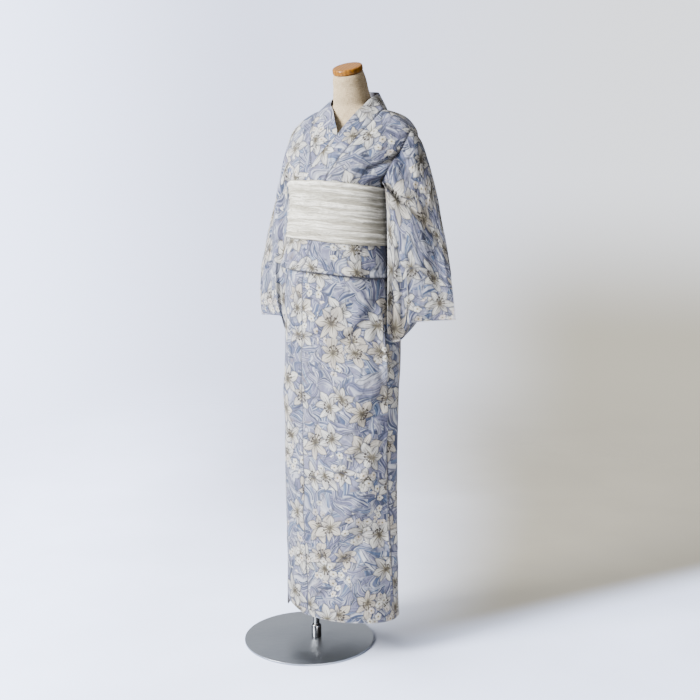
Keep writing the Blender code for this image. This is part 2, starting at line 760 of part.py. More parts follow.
def sleeve_sheet(side, direction, tip, inner, fold, bottom, bottom_shares):
    """One side of the bag, as rows from just below the top fold to just above the bottom.

    It is stretched between its four edges: the top fold, the bottom seam, the armhole with
    the free edge below it, and the cuff's edge.
    """
    inner_path = [tip] + inner + [bottom[0]]
    inner_shares = length_shares(inner_path)
    fold_shares = length_shares(fold)
    cuff_top, corner = fold[-1], bottom[-1]
    rows = []
    for down in inner_shares[1:-1]:
        left = path_at(inner_path, inner_shares, down)
        right = cuff_top.lerp(corner, down)
        right.x += side * CUFF_BOW[side] * 4 * down * (1 - down)
        right.y += direction * CUFF_MOUTH * math.sin(math.pi * down) ** 0.5
        row = []
        for share in SLEEVE_SHARES:
            above = path_at(fold, fold_shares, share)
            below = path_at(bottom, bottom_shares, share)
            place = above.lerp(below, down)
            place += (left - tip.lerp(bottom[0], down)) * (1 - share) ** 2
            place += (right - cuff_top.lerp(corner, down)) * share
            swell = SLEEVE_BULGE[side, direction] * math.sin(math.pi * share**0.75)
            swell *= math.sin(math.pi * down) ** 0.6 * (1 - 0.4 * smooth_step(0.45, 0.9, down))
            place += Vector((side * 0.25, direction, 0)).normalized() * swell
            if direction < 0:
                line = SLEEVE_PLEAT_AT[0] + (SLEEVE_PLEAT_AT[1] - SLEEVE_PLEAT_AT[0]) * down
                inside = 1 - smooth_step(line - 0.02, line + 0.06, share)
                inside *= smooth_step(0.0, 0.06, share)
                place.y += SLEEVE_PLEAT_DEPTH * inside * smooth_step(0.55, 0.8, down)
            row.append(place)
        rows.append(row)
    return rows


def sleeve_rows(side):
    """Outer-face points of the sleeve, from the front bottom over the top fold to the back.

    Also the armhole edge's points on the cloth's inner side, None where there is no seam.
    """
    def armhole(level, x, back, out=WALL):
        gap = ARMPIT_GAP if level == CHEST_LEVEL else SEAM_GAP / 2
        turn = turn_at(side * (x + gap), level, back)
        return cloth_point(side, turn, level, out)

    def signed(x, y, z):
        return Vector((side * x, y, z))

    tip = armhole(RIDGE_LEVEL, SHOULDER_POINTS[2], False)
    fold = [tip] + [signed(*point) for point in SLEEVE_TOP_FOLD[side]]
    front = [armhole(level, x, False) for level, _, x in reversed(FRONT_YOKE)]
    back = [armhole(level, x, True) for level, _, x in BACK_YOKE]
    loose = [None] * (len(FURI_ROWS[side]) + 1)
    front_backs = [armhole(level, x, False, 0) for level, _, x in reversed(FRONT_YOKE)] + loose
    back_backs = [armhole(level, x, True, 0) for level, _, x in BACK_YOKE] + loose
    tip_back = armhole(RIDGE_LEVEL, SHOULDER_POINTS[2], False, 0)
    front += [signed(x, y, z) for z, x, y, _, _ in FURI_ROWS[side]]
    back += [signed(x, y, z) for z, _, _, x, y in FURI_ROWS[side]]
    bottom = [signed(*row[1:]) for row in SLEEVE_BOTTOM[side]]
    bottom_shares = [row[0] for row in SLEEVE_BOTTOM[side]]
    fold_shares = length_shares(fold)
    front_sheet = sleeve_sheet(side, -1, tip, front, fold, bottom, bottom_shares)
    back_sheet = sleeve_sheet(side, 1, tip, back, fold, bottom, bottom_shares)
    top_line = [path_at(fold, fold_shares, share) for share in SLEEVE_SHARES]
    seam_line = [path_at(bottom, bottom_shares, share) for share in SLEEVE_SHARES]
    rows = [seam_line] + front_sheet[::-1] + [top_line] + back_sheet + [list(seam_line)]
    return rows, front_backs[::-1] + [tip_back] + back_backs


def grid_normals(points, side):
    """Outward directions at the points of a grid, from its neighbours."""
    rows = len(points)
    columns = len(points[0])
    normals = []
    for r in range(rows):
        line = []
        for c in range(columns):
            up = points[min(r + 1, rows - 1)][c] - points[max(r - 1, 0)][c]
            across = points[r][min(c + 1, columns - 1)] - points[r][max(c - 1, 0)]
            line.append(across.cross(up).normalized() * side)
        normals.append(line)
    return normals


def sleeve(side):
    """A bag sleeve, sewn to the armhole above and open beside the body below."""
    faces, seam_backs = sleeve_rows(side)
    normals = grid_normals(faces, side)
    rows = len(faces)
    columns = len(faces[0])
    pairs = []
    for r in range(rows):
        line = []
        for c in range(columns):
            if r in (0, rows - 1):
                back = faces[r][c] + Vector((0, 0, 2 * WALL))
            elif c == 0 and seam_backs[r] is not None:
                back = seam_backs[r]
            else:
                back = faces[r][c] - normals[r][c] * WALL
            line.append((faces[r][c], back))
        pairs.append(line)
    builder = bmesh.new()
    bmesh.ops.create_grid(builder, x_segments=columns - 1, y_segments=rows - 1, size=1)
    number = builder.verts.layers.int.new("number")
    for index, vertex in enumerate(builder.verts):
        vertex[number] = index
        vertex.co = pairs[index // columns][index % columns][0]
    bottom = [v for v in builder.verts if v[number] // columns in (0, rows - 1)]
    bmesh.ops.remove_doubles(builder, verts=bottom, dist=1e-6)
    grown = bmesh.ops.extrude_face_region(builder, geom=builder.faces[:], use_keep_orig=True)
    for vertex in grown["geom"]:
        if isinstance(vertex, bmesh.types.BMVert):
            row, column = divmod(vertex[number], columns)
            vertex.co = pairs[row][column][1]
    bmesh.ops.recalc_face_normals(builder, faces=builder.faces[:])
    return builder


# ---------------------------------------------------------------- the sash
def obi_stand_off(turn, height):
    """Distance of the sash's inner side from the skin, clear of every layer under it."""
    turn = (turn + 180) % 360 - 180
    if turn >= FREE_EDGE_TURN_TOP - 4:
        wound = wrap_turn(1, turn)
    else:
        wound = wrap_turn(-1, turn)
        high = wrap_turn(1, FREE_EDGE_TURN_TOP - 4)
        low = wrap_turn(-1, -180)
        share = smooth_step(-180, FREE_EDGE_TURN_TOP - 4, turn)
        wound = max(wound, low + (high - low) * share)
    under = read_table(WRAP_PITCH, height) * wound / 360 + read_table(TUCK_LIFT, height)
    return under + COLLAR_THICKNESS + OBI_CLEARANCE


def gather_height(turn, share):
    """Relief of the sash's gathers at a share of its height."""
    total = 0.0
    for middle, wander, turns, phase, height in OBI_GATHERS:
        centre = middle + wander * math.sin(math.radians(turn) * turns + phase)
        strength = 0.72 + 0.28 * math.sin(math.radians(turn) * (turns + 1) + phase * 2)
        total += height * strength * math.exp(-(((share - centre) / OBI_GATHER_WIDTH) ** 2))
    return total


def obi():
    """The soft sash, wound once round the waist, with its end tucked flat at the back."""
    rows = []
    for share in spread(0, 1, OBI_CELLS):
        pairs = []
        for wound in spread(0, OBI_TURNS, OBI_COLUMNS):
            turn = OBI_TURN_START - wound
            signed = (turn + 180) % 360 - 180
            z_bottom = read_table(OBI_EDGES, signed, 1)
            z_top = read_table(OBI_EDGES, signed, 2)
            height = z_bottom + (z_top - z_bottom) * share
            inside = obi_stand_off(turn, height)
            inside += OBI_LAP_STEP * smooth_step(*OBI_LAP_TURNS, wound)
            level = level_at(height)
            place = skin_point(turn, level)
            normal = skin_normal(turn, level)
            outside = inside + OBI_THICKNESS + gather_height(turn, share)
            pairs.append((place + normal * outside, place + normal * inside))
        rows.append(pairs)
    return wall_from_grid(rows)


# ---------------------------------------------------------------- form and stand
def dress_form():
    """The linen-covered torso, with no limbs, up to the top of its neck."""
    rows = []
    for z_mid, z_side, half_width, y_side, y_front, y_back, roundness in FORM_ROWS:
        ring = []
        for turn in spread(0, 360, FORM_COLUMNS):
            x, y, share = ring_place(turn, half_width, y_side, y_front, y_back, roundness)
            ring.append(Vector((x, y, z_mid + (z_side - z_mid) * share**2)))
        rows.append(ring)
    top = []
    for turn in spread(0, 360, FORM_COLUMNS):
        across = NECK_TOP_RADIUS * math.sin(math.radians(turn))
        forward = NECK_TOP_RADIUS * math.cos(math.radians(turn))
        height = NECK_TOP - forward * math.sin(NECK_TOP_TILT)
        top.append(Vector((across, NECK_TOP_Y - forward * math.cos(NECK_TOP_TILT), height)))
    rows.append(top)

    builder = bmesh.new()
    bmesh.ops.create_grid(builder, x_segments=FORM_COLUMNS, y_segments=len(rows) - 1, size=1)
    for index, vertex in enumerate(builder.verts[:]):
        vertex.co = rows[index // (FORM_COLUMNS + 1)][index % (FORM_COLUMNS + 1)]
    bmesh.ops.remove_doubles(builder, verts=builder.verts[:], dist=1e-5)
    bmesh.ops.holes_fill(builder, edges=[e for e in builder.edges if e.is_boundary], sides=0)
    bmesh.ops.recalc_face_normals(builder, faces=builder.faces[:])
    return builder


def turned_disc(radius, height, bevel, segments, rings=3):
    """A round block standing on z = 0, with its edges rounded."""
    builder = bmesh.new()
    bmesh.ops.create_cone(
        builder, cap_ends=True, segments=segments, radius1=radius, radius2=radius, depth=height
    )
    bmesh.ops.translate(builder, verts=builder.verts[:], vec=(0, 0, height / 2))
    rims = [e for e in builder.edges if abs(e.verts[0].co.z - e.verts[1].co.z) < 1e-6]
    if bevel > 0:
        bmesh.ops.bevel(
            builder, geom=rims, offset=bevel, segments=rings, profile=0.5,
            affect="EDGES", material=-1,
        )
    bmesh.ops.recalc_face_normals(builder, faces=builder.faces[:])
    return builder


def stand():
    """Base plate, socket and pole."""
    add_object(
        "base_plate",
        turned_disc(BASE_RADIUS, BASE_THICKNESS, BASE_BEVEL, 64, rings=1),
        "brushed_steel",
    )
    socket_bottom = BASE_THICKNESS + SEAM_GAP
    add_object(
        "pole_socket",
        turned_disc(SOCKET_RADIUS, SOCKET_HEIGHT, 0.003, 24, rings=2),
        "polished_steel",
        (*POLE_AT, socket_bottom),
    )
    pole_bottom = socket_bottom + SOCKET_HEIGHT + SEAM_GAP
    add_object(
        "pole",
        turned_disc(POLE_RADIUS, FORM_BOTTOM - SEAM_GAP - pole_bottom, 0.0, 24),
        "polished_steel",
        (*POLE_AT, pole_bottom),
    )


def neck_cap():
    """The turned wooden cap, tilted with the top of the neck."""
    builder = turned_disc(CAP_RADIUS, CAP_HEIGHT, CAP_BEVEL, 36, rings=3)
    tilt = Matrix.Rotation(NECK_TOP_TILT, 4, "X")
    seat = Vector((0, NECK_TOP_Y, NECK_TOP + SEAM_GAP))
    bmesh.ops.transform(builder, matrix=Matrix.Translation(seat) @ tilt, verts=builder.verts[:])
    return builder


def main():
    for old in list(bpy.data.objects):
        bpy.data.objects.remove(old)
    stand()
    add_object("dress_form", dress_form(), "linen", TORSO_AT)
    add_object("neck_cap", neck_cap(), "turned_wood", TORSO_AT)
    for side, name in ((1, "left"), (-1, "right")):
        add_object("body_" + name, body_panel(side), "printed_cotton", TORSO_AT)
        add_object("okumi_" + name, okumi(side), "printed_cotton", TORSO_AT)
        add_object("sleeve_" + name, sleeve(side), "printed_cotton", TORSO_AT)
    add_object("collar", collar(), "printed_cotton", TORSO_AT)
    add_object("obi", obi(), "sash_cotton", TORSO_AT)


main()
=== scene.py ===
# %% [markdown]
# # A cotton yukata robe on a dress form
#
# This script dresses a fixed frame, the packed CAD model of a yukata robe on its stand, with
# thin cloth, procedural materials, a floor, lights and a camera.  Every piece replaces the CAD
# node that it stands for and lies where that node lies, so nothing has to be fitted by eye.

# %% Load the frame
import math

import bmesh
import bpy
import numpy as np
from mathutils import Matrix, Vector


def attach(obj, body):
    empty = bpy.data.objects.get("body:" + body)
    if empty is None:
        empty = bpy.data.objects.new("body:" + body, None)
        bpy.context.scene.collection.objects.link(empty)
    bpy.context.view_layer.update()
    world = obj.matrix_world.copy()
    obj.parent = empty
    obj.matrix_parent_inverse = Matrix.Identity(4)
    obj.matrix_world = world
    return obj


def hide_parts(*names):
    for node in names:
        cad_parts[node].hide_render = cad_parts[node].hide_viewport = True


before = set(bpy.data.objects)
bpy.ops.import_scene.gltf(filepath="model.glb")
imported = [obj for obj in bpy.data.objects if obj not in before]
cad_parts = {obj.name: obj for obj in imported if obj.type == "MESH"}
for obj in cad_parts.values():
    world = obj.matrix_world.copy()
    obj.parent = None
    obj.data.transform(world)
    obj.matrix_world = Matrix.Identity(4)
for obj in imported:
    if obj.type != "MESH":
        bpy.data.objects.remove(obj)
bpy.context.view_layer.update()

# %% [markdown]
# ## Sizes shared with the CAD model
#
# The robe is a scroll of flat panels wound round one base skin.  A place on the skin is named
# by a turn (degrees from the front centre, positive toward the wearer's left) and by a level
# (the row of `SKIN_ROWS`).  The tables repeat the CAD model's values, in metres.

# %% The base skin and the wrap
TORSO_AT = np.array([0.078, 0.048, 0.0])
WALL = 0.0015               # thickness of the CAD cloth
CLOTH = 0.0009              # thickness of the cloth that shows
SEAM_GAP = 0.0001
ROUNDNESS = 2.3
SHOULDER_SLOPE = 3.3
HIDDEN_EDGE_TURN = 60
RIDGE_LEVEL = 19
YOKE_LEVEL = 11
YOKE_HEIGHT = 1.19

SKIN_ROWS = [
    # z_front z_back  z_side  half_w  y_side  y_front  y_back
    (0.060, 0.060, 0.060, 0.1570, 0.000, -0.108, 0.106),
    (0.200, 0.200, 0.200, 0.1530, -0.002, -0.111, 0.101),
    (0.350, 0.350, 0.350, 0.1495, -0.005, -0.116, 0.098),
    (0.500, 0.500, 0.500, 0.1490, -0.006, -0.118, 0.101),
    (0.650, 0.650, 0.650, 0.1500, -0.004, -0.117, 0.112),
    (0.800, 0.800, 0.800, 0.1505, -0.002, -0.113, 0.119),
    (0.900, 0.900, 0.900, 0.1485, -0.002, -0.111, 0.114),
    (0.980, 0.980, 0.980, 0.1390, -0.004, -0.107, 0.101),
    (1.050, 1.050, 1.050, 0.1270, -0.004, -0.104, 0.094),
    (1.120, 1.120, 1.120, 0.1210, -0.003, -0.100, 0.090),
    (1.180, 1.180, 1.180, 0.1225, 0.000, -0.100, 0.093),
    (1.240, 1.240, 1.240, 0.1320, 0.004, -0.101, 0.104),
    (1.270, 1.275, 1.262, 0.1480, 0.012, -0.092, 0.118),
    (1.300, 1.312, 1.282, 0.1600, 0.020, -0.076, 0.131),
    (1.330, 1.348, 1.300, 0.1690, 0.027, -0.053, 0.141),
    (1.360, 1.380, 1.317, 0.1750, 0.031, -0.028, 0.148),
    (1.385, 1.405, 1.332, 0.1780, 0.034, -0.003, 0.151),
    (1.403, 1.411, 1.344, 0.1790, 0.036, 0.017, 0.130),
    (1.414, 1.415, 1.351, 0.1790, 0.036, 0.034, 0.090),
    (1.418, 1.418, 1.354, 0.1790, 0.036, 0.048, 0.048),
]
WRAP_PITCH = [
    # z     out per whole turn
    (0.060, 0.0036), (0.900, 0.0036), (0.975, 0.0072), (1.125, 0.0072),
    (1.190, 0.0042), (1.352, 0.0042), (1.380, 0.0008),
]
TUCK_STEP = 0.0021
TUCK_TOP = 1.105
TUCK_BOTTOM = 1.013
TUCK_LIFT = [(1.110, 2 * TUCK_STEP), (1.150, TUCK_STEP), (1.190, 0.0)]
HEM_HEIGHT = 0.089
HEM_LINE = [
    # turn height
    (-62, 0.134), (-47, 0.122), (-20, 0.100), (0, 0.098),
    (40, 0.101), (70, 0.096), (90, 0.091), (180, 0.089),
]
print("skin rows:", len(SKIN_ROWS), "with the hem at", HEM_HEIGHT, "m")

# %% [markdown]
# ## Outlines of the panels
#
# On the real robe every panel is a straight strip, and only its seams say where it lies on the
# body.  So each outline is a short table of seam places, read smoothly in between, which is
# easier to correct than a mesh edited by hand.

# %% Outlines of the panels
SKIRT_SEAM = [
    # z     x on the left panel; the right one mirrors it
    (0.060, -0.036), (0.300, -0.041), (0.550, -0.045),
    (0.930, -0.048), (1.030, -0.044), (1.110, -0.042),
]
BODICE_SEAM = [
    # z     x
    (0.990, -0.040), (1.028, -0.036), (1.070, -0.022), (1.110, -0.010),
    (1.150, -0.002), (1.190, 0.007), (1.240, 0.0185),
]
SIDE_SEAM = [
    # z     turn
    (0.060, 92), (0.300, 88), (0.550, 82), (0.830, 74), (0.980, 80), (1.110, 88), (1.190, 84),
]
FRONT_YOKE = [
    # level collar armhole
    (11, 0.0185, 0.127), (12, 0.0310, 0.140), (13, 0.0455, 0.152), (14, 0.0620, 0.162),
    (15, 0.0745, 0.1680), (16, 0.0850, 0.1715), (17, 0.0915, 0.1735), (18, 0.0935, 0.1748),
    (19, 0.0935, 0.1750),
]
BACK_YOKE = [
    (11, 0.0, 0.126), (12, 0.0, 0.139), (13, 0.0, 0.151), (14, 0.0, 0.161), (15, 0.0, 0.1665),
    (16, 0.0, 0.1705), (16.5, 0.0300, 0.1722), (17, 0.0550, 0.1732), (17.5, 0.0690, 0.1741),
    (18, 0.0800, 0.1746), (18.5, 0.0880, 0.1749), (19, 0.0935, 0.1750),
]
COLLAR_THICKNESS = 0.0025
COLLAR_ON_CHEST = [
    # seam_z inward  up
    (1.130, 0.053, 0.013), (1.170, 0.053, 0.013), (1.205, 0.053, 0.014),
    (1.240, 0.051, 0.019), (1.270, 0.050, 0.022), (1.300, 0.048, 0.024),
]
COLLAR_ROUND_NECK = [
    # level x_seam  x_left  x_right y       z
    (14, 0.0620, 0.0130, -0.0110, -0.040, 1.352),
    (15, 0.0745, 0.0300, 0.0070, -0.022, 1.383),
    (16, 0.0850, 0.0420, 0.0275, 0.002, 1.410),
    (17, 0.0915, 0.0505, 0.0475, 0.022, 1.426),
    (18, 0.0935, 0.0540, 0.0530, 0.036, 1.437),
    (19, 0.0935, 0.0550, 0.0550, 0.052, 1.444),
]
COLLAR_ROUND_NAPE = [
    (18.5, 0.0880, 0.0545, 0.0545, 0.070, 1.449),
    (18, 0.0800, 0.0500, 0.0500, 0.089, 1.453),
    (17.5, 0.0690, 0.0430, 0.0430, 0.104, 1.456),
    (17, 0.0550, 0.0340, 0.0340, 0.116, 1.458),
    (16.5, 0.0300, 0.0185, 0.0185, 0.124, 1.459),
    (16, 0.0, 0.0, 0.0, 0.127, 1.4595),
]
print("collar rows:", len(COLLAR_ON_CHEST), len(COLLAR_ROUND_NECK), len(COLLAR_ROUND_NAPE))

# %% [markdown]
# ## Outlines of the sleeves
#
# A sleeve hangs from the armhole as a flat bag.  Its top fold, its open inner edge and its
# bottom seam are lines in space, and the cloth between them is blended from those lines.

# %% Sleeves, keyed by side: 1 is the wearer's left
SLEEVE_TOP_FOLD = {
    1: [(0.1940, 0.041, 1.3380), (0.2190, 0.042, 1.2800), (0.2433, 0.038, 1.2200),
        (0.2630, 0.033, 1.1600), (0.2765, 0.029, 1.1200)],
    -1: [(0.1890, 0.042, 1.3350), (0.2060, 0.046, 1.2750), (0.2210, 0.048, 1.2150),
         (0.2350, 0.048, 1.1550), (0.2470, 0.047, 1.1100)],
}
CUFF_BOW = {1: 0.003, -1: 0.022}
CUFF_MOUTH = {1: 0.0034, -1: 0.0050}
FURI_ROWS = {
    # z      x_front y_front x_back  y_back
    1: [(1.230, 0.1500, -0.046, 0.1480, 0.088), (1.190, 0.1580, -0.050, 0.1560, 0.100),
        (1.130, 0.1620, -0.051, 0.1600, 0.104), (1.050, 0.1640, -0.051, 0.1640, 0.108),
        (0.970, 0.1640, -0.051, 0.1660, 0.110), (0.910, 0.1640, -0.051, 0.1660, 0.100),
        (0.876, 0.1640, -0.050, 0.1660, 0.070)],
    -1: [(1.230, 0.1450, -0.030, 0.1480, 0.088), (1.190, 0.1475, -0.021, 0.1560, 0.100),
         (1.130, 0.1500, -0.013, 0.1600, 0.104), (1.050, 0.1570, -0.011, 0.1640, 0.108),
         (0.970, 0.1650, -0.010, 0.1660, 0.110), (0.910, 0.1690, -0.010, 0.1660, 0.100),
         (0.872, 0.1690, -0.008, 0.1660, 0.080)],
}
SLEEVE_BOTTOM = {
    # along x      y       z
    1: [(0.00, 0.1640, -0.044, 0.8560), (0.07, 0.1700, -0.040, 0.8440),
        (0.15, 0.1810, -0.034, 0.8420), (0.22, 0.1920, -0.028, 0.8480),
        (0.28, 0.2020, -0.020, 0.8700), (0.34, 0.2130, -0.014, 0.8890),
        (0.60, 0.2555, 0.003, 0.8960), (1.00, 0.3160, 0.024, 0.9010)],
    -1: [(0.00, 0.1690, 0.002, 0.8480), (0.07, 0.1750, 0.004, 0.8360),
         (0.15, 0.1850, 0.008, 0.8340), (0.22, 0.1940, 0.012, 0.8420),
         (0.28, 0.2020, 0.016, 0.8560), (0.34, 0.2110, 0.020, 0.8680),
         (0.60, 0.2440, 0.030, 0.8670), (1.00, 0.2860, 0.038, 0.8640)],
}
SLEEVE_BULGE = {(1, -1): 0.030, (1, 1): 0.024, (-1, -1): 0.022, (-1, 1): 0.022}
print("rows of a sleeve bottom:", len(SLEEVE_BOTTOM[1]))

# %% [markdown]
# ## Sizes of the sash and the stand
#
# The sash is a band whose two edges wander, with gathers as ridges that have a middle, a sway
# and a height.  The form is a stack of rounded rings, and the stand's parts are turned, so a
# radius and two heights are enough.

# %% Sash, form and stand
OBI_EDGES = [
    # turn z_bottom z_top
    (-180, 1.082, 1.220), (-75, 1.088, 1.222), (-40, 1.093, 1.238), (0, 1.091, 1.241),
    (45, 1.083, 1.232), (90, 1.076, 1.220), (180, 1.082, 1.222),
]
OBI_GATHERS = [
    # share  wander turns phase height
    (0.050, 0.010, 2, 0.3, 0.0018), (0.165, 0.022, 1, 2.1, 0.0024),
    (0.280, 0.016, 3, 4.0, 0.0017), (0.395, 0.026, 1, 0.9, 0.0025),
    (0.510, 0.018, 2, 5.2, 0.0018), (0.630, 0.028, 1, 3.3, 0.0026),
    (0.750, 0.018, 3, 1.4, 0.0018), (0.860, 0.022, 2, 2.8, 0.0024),
    (0.955, 0.010, 1, 4.6, 0.0017),
]
FORM_ROWS = [
    # z_mid  z_side half_w y_side y_front y_back roundness
    (0.800, 0.800, 0.108, 0.000, -0.072, 0.076, 2.2),
    (0.806, 0.806, 0.114, 0.000, -0.078, 0.082, 2.2),
    (0.860, 0.860, 0.126, -0.002, -0.086, 0.088, 2.2),
    (0.940, 0.940, 0.122, -0.003, -0.084, 0.086, 2.2),
    (1.020, 1.020, 0.108, -0.003, -0.080, 0.078, 2.2),
    (1.100, 1.100, 0.099, -0.002, -0.077, 0.070, 2.2),
    (1.170, 1.170, 0.102, 0.000, -0.080, 0.074, 2.2),
    (1.230, 1.230, 0.114, 0.004, -0.082, 0.086, 2.2),
    (1.280, 1.265, 0.130, 0.014, -0.066, 0.100, 2.2),
    (1.325, 1.295, 0.148, 0.024, -0.036, 0.106, 2.1),
    (1.360, 1.325, 0.158, 0.031, -0.012, 0.107, 1.8),
    (1.3858, 1.3628, 0.160, 0.034, -0.002, 0.105, 1.4),
    (1.4008, 1.3848, 0.142, 0.037, 0.000, 0.104, 1.2),
    (1.408, 1.399, 0.114, 0.044, 0.002, 0.104, 1.3),
    (1.414, 1.410, 0.080, 0.052, 0.004, 0.104, 1.6),
    (1.424, 1.424, 0.0525, 0.050, 0.005, 0.099, 2.0),
    (1.442, 1.442, 0.0485, 0.046, -0.001, 0.094, 2.0),
    (1.470, 1.470, 0.044, 0.040, -0.004, 0.084, 2.0),
]
NECK_TOP = 1.505
NECK_TOP_Y = 0.028
NECK_TOP_TILT = math.radians(20)
CAP_RADIUS = 0.0388
CAP_HEIGHT = 0.0155
BASE_RADIUS = 0.175
BASE_THICKNESS = 0.005
POLE_AT = (0.0168, 0.0105)
POLE_RADIUS = 0.0085
SOCKET_RADIUS = 0.0135
SOCKET_HEIGHT = 0.037
FORM_BOTTOM = 0.80
print("plate", 2 * BASE_RADIUS, "m across, neck top at", NECK_TOP, "m")

# %% [markdown]
# ## Camera
#
# The camera stands at shoulder height, 32 degrees round toward the wearer's left, and looks a
# little down.  Its lens is long, so that the robe keeps its upright proportions.

# %% Camera
TURN = math.radians(32)
CAMERA_TILT = math.radians(79.6)
CAMERA_ASIDE = 0.111
CAMERA_BACK = 3.076
CAMERA_HEIGHT = 1.363
right = Vector((math.cos(TURN), math.sin(TURN), 0))
ahead = Vector((-math.sin(TURN), math.cos(TURN), 0))
camera_data = bpy.data.cameras.new("camera")
camera_data.sensor_width = 36
camera_data.lens = 61.71
camera_data.clip_end = 60
camera = bpy.data.objects.new("camera", camera_data)
camera.location = CAMERA_ASIDE * right - CAMERA_BACK * ahead + Vector((0, 0, CAMERA_HEIGHT))
camera.rotation_euler = (CAMERA_TILT, 0, TURN)
bpy.context.scene.collection.objects.link(camera)
bpy.context.scene.camera = camera
print("camera at", [round(x, 3) for x in camera.location])

# %% [markdown]
# ## Materials
#
# Every surface is procedural.  Cloth reads its UV map, which is in metres, so the print, the
# weave and the stitches have their real sizes.

# %% A small language for node trees
class Recipe:
    """A node tree whose nodes are written as sums; by default a new material's."""

    def __init__(self, name, tree=None):
        if tree is None:
            self.material = bpy.data.materials.new(name)
            self.material.use_nodes = True
            tree = self.material.node_tree
            self.shader = tree.nodes["Principled BSDF"]
        self.tree = tree

    def node(self, kind, inputs=(), **settings):
        node = self.tree.nodes.new("ShaderNode" + kind)
        for key, value in settings.items():
            setattr(node, key, value)
        for key, value in dict(inputs).items():
            self.feed(node.inputs[key], value)
        return node

    def feed(self, socket, value):
        if isinstance(value, bpy.types.NodeSocket):
            self.tree.links.new(value, socket)
        elif hasattr(socket.default_value, "__len__") and len(socket.default_value) == 4:
            socket.default_value = (*value, 1)
        else:
            socket.default_value = value

    def math(self, operation, *values):
        return self.node("Math", enumerate(values), operation=operation).outputs[0]

    def add(self, *values):
        total = values[0]
        for value in values[1:]:
            total = self.math("ADD", total, value)
        return total

    def mul(self, *values):
        total = values[0]
        for value in values[1:]:
            total = self.math("MULTIPLY", total, value)
        return total

    def sub(self, a, b):
        return self.math("SUBTRACT", a, b)

    def ramp(self, value, low, high, start=0.0, end=1.0):
        inputs = {0: value, 1: low, 2: high, 3: start, 4: end}
        return self.node("MapRange", inputs, interpolation_type="SMOOTHSTEP").outputs[0]

    def mix(self, factor, a, b):
        return self.node("Mix", {0: factor, 6: a, 7: b}, data_type="RGBA").outputs[2]

    def join(self, x, y, z=0.0):
        return self.node("CombineXYZ", enumerate((x, y, z))).outputs[0]

    def split(self, vector):
        return self.node("SeparateXYZ", {0: vector}).outputs

    def vector(self, operation, *values):
        return self.node("VectorMath", enumerate(values), operation=operation).outputs[0]

    def dot(self, vector, direction):
        """How far a vector reaches along a fixed direction."""
        inputs = {0: vector, 1: tuple(direction)}
        return self.node("VectorMath", inputs, operation="DOT_PRODUCT").outputs["Value"]

    def reach(self, x, y):
        """How far a place is from the origin of its two axes."""
        return self.math("SQRT", self.add(self.mul(x, x), self.mul(y, y)))

    def noise(self, place, scale, detail=2.0, rough=0.5):
        inputs = {"Vector": place, "Scale": scale, "Detail": detail, "Roughness": rough}
        return self.node("TexNoise", inputs).outputs

    def cells(self, place, scale, randomness):
        inputs = {"Vector": place, "Scale": scale, "Randomness": randomness}
        return self.node("TexVoronoi", inputs, voronoi_dimensions="2D").outputs

    def uv(self):
        return self.node("UVMap", uv_map="cloth").outputs[0]

    def attribute(self, name):
        return self.node("Attribute", attribute_name=name).outputs["Fac"]

    def relief(self, height, distance, strength=1.0, normal=None):
        node = self.node("Bump", {"Height": height, "Distance": distance, "Strength": strength})
        if normal is not None:
            self.feed(node.inputs["Normal"], normal)
        return node.outputs[0]

    def finish(self, **values):
        for key, value in values.items():
            self.feed(self.shader.inputs[key.replace("_", " ")], value)
        return self.material


print("recipe steps:", [name for name in vars(Recipe) if not name.startswith("_")])


# %% [markdown]
# ## Backdrop
#
# The studio is a world colour that changes with direction: bright on one side, darker on the
# other, with a painted shadow low on the far side.  What the camera sees and what lights the
# robe are kept apart, so that each can be set on its own.

# %% Backdrop colours
BRIGHT_SIDE = (3.5, 3.9, 5.3)
MIDDLE = (1.85, 2.0, 2.6)
FAR_SIDE = (1.75, 1.80, 1.92)
NEAR_BRIGHT = (3.1, 3.5, 4.8)
NEAR_MIDDLE = (2.5, 2.8, 3.7)
# The colour of a painted shadow, on the backdrop and on the floor.
PAINTED_SHADOW = (0.80, 0.755, 0.63)


def backdrop(r, way):
    """The pale studio's colour in a direction."""
    across = r.dot(way, right)
    up = r.split(way)[2]
    colour = r.mix(r.ramp(across, -0.34, -0.06), BRIGHT_SIDE, MIDDLE)
    colour = r.mix(r.ramp(across, -0.05, 0.24), colour, FAR_SIDE)
    near = r.mix(r.ramp(across, -0.34, -0.10), NEAR_BRIGHT, NEAR_MIDDLE)
    colour = r.mix(r.ramp(up, -0.28, -0.40), colour, near)
    # A painted shadow: a dusky patch low on the far side of the backdrop.
    edge = r.ramp(r.sub(up, r.mul(across, 0.22)), -0.432, -0.405)
    slant = r.ramp(r.sub(across, r.mul(r.math("MINIMUM", r.add(up, 0.3), 0.0), 0.9)), 0.0, 0.20)
    painted_shadow = r.mul(slant, r.ramp(up, -0.03, -0.17), edge)
    return r.mix(painted_shadow, colour, PAINTED_SHADOW)


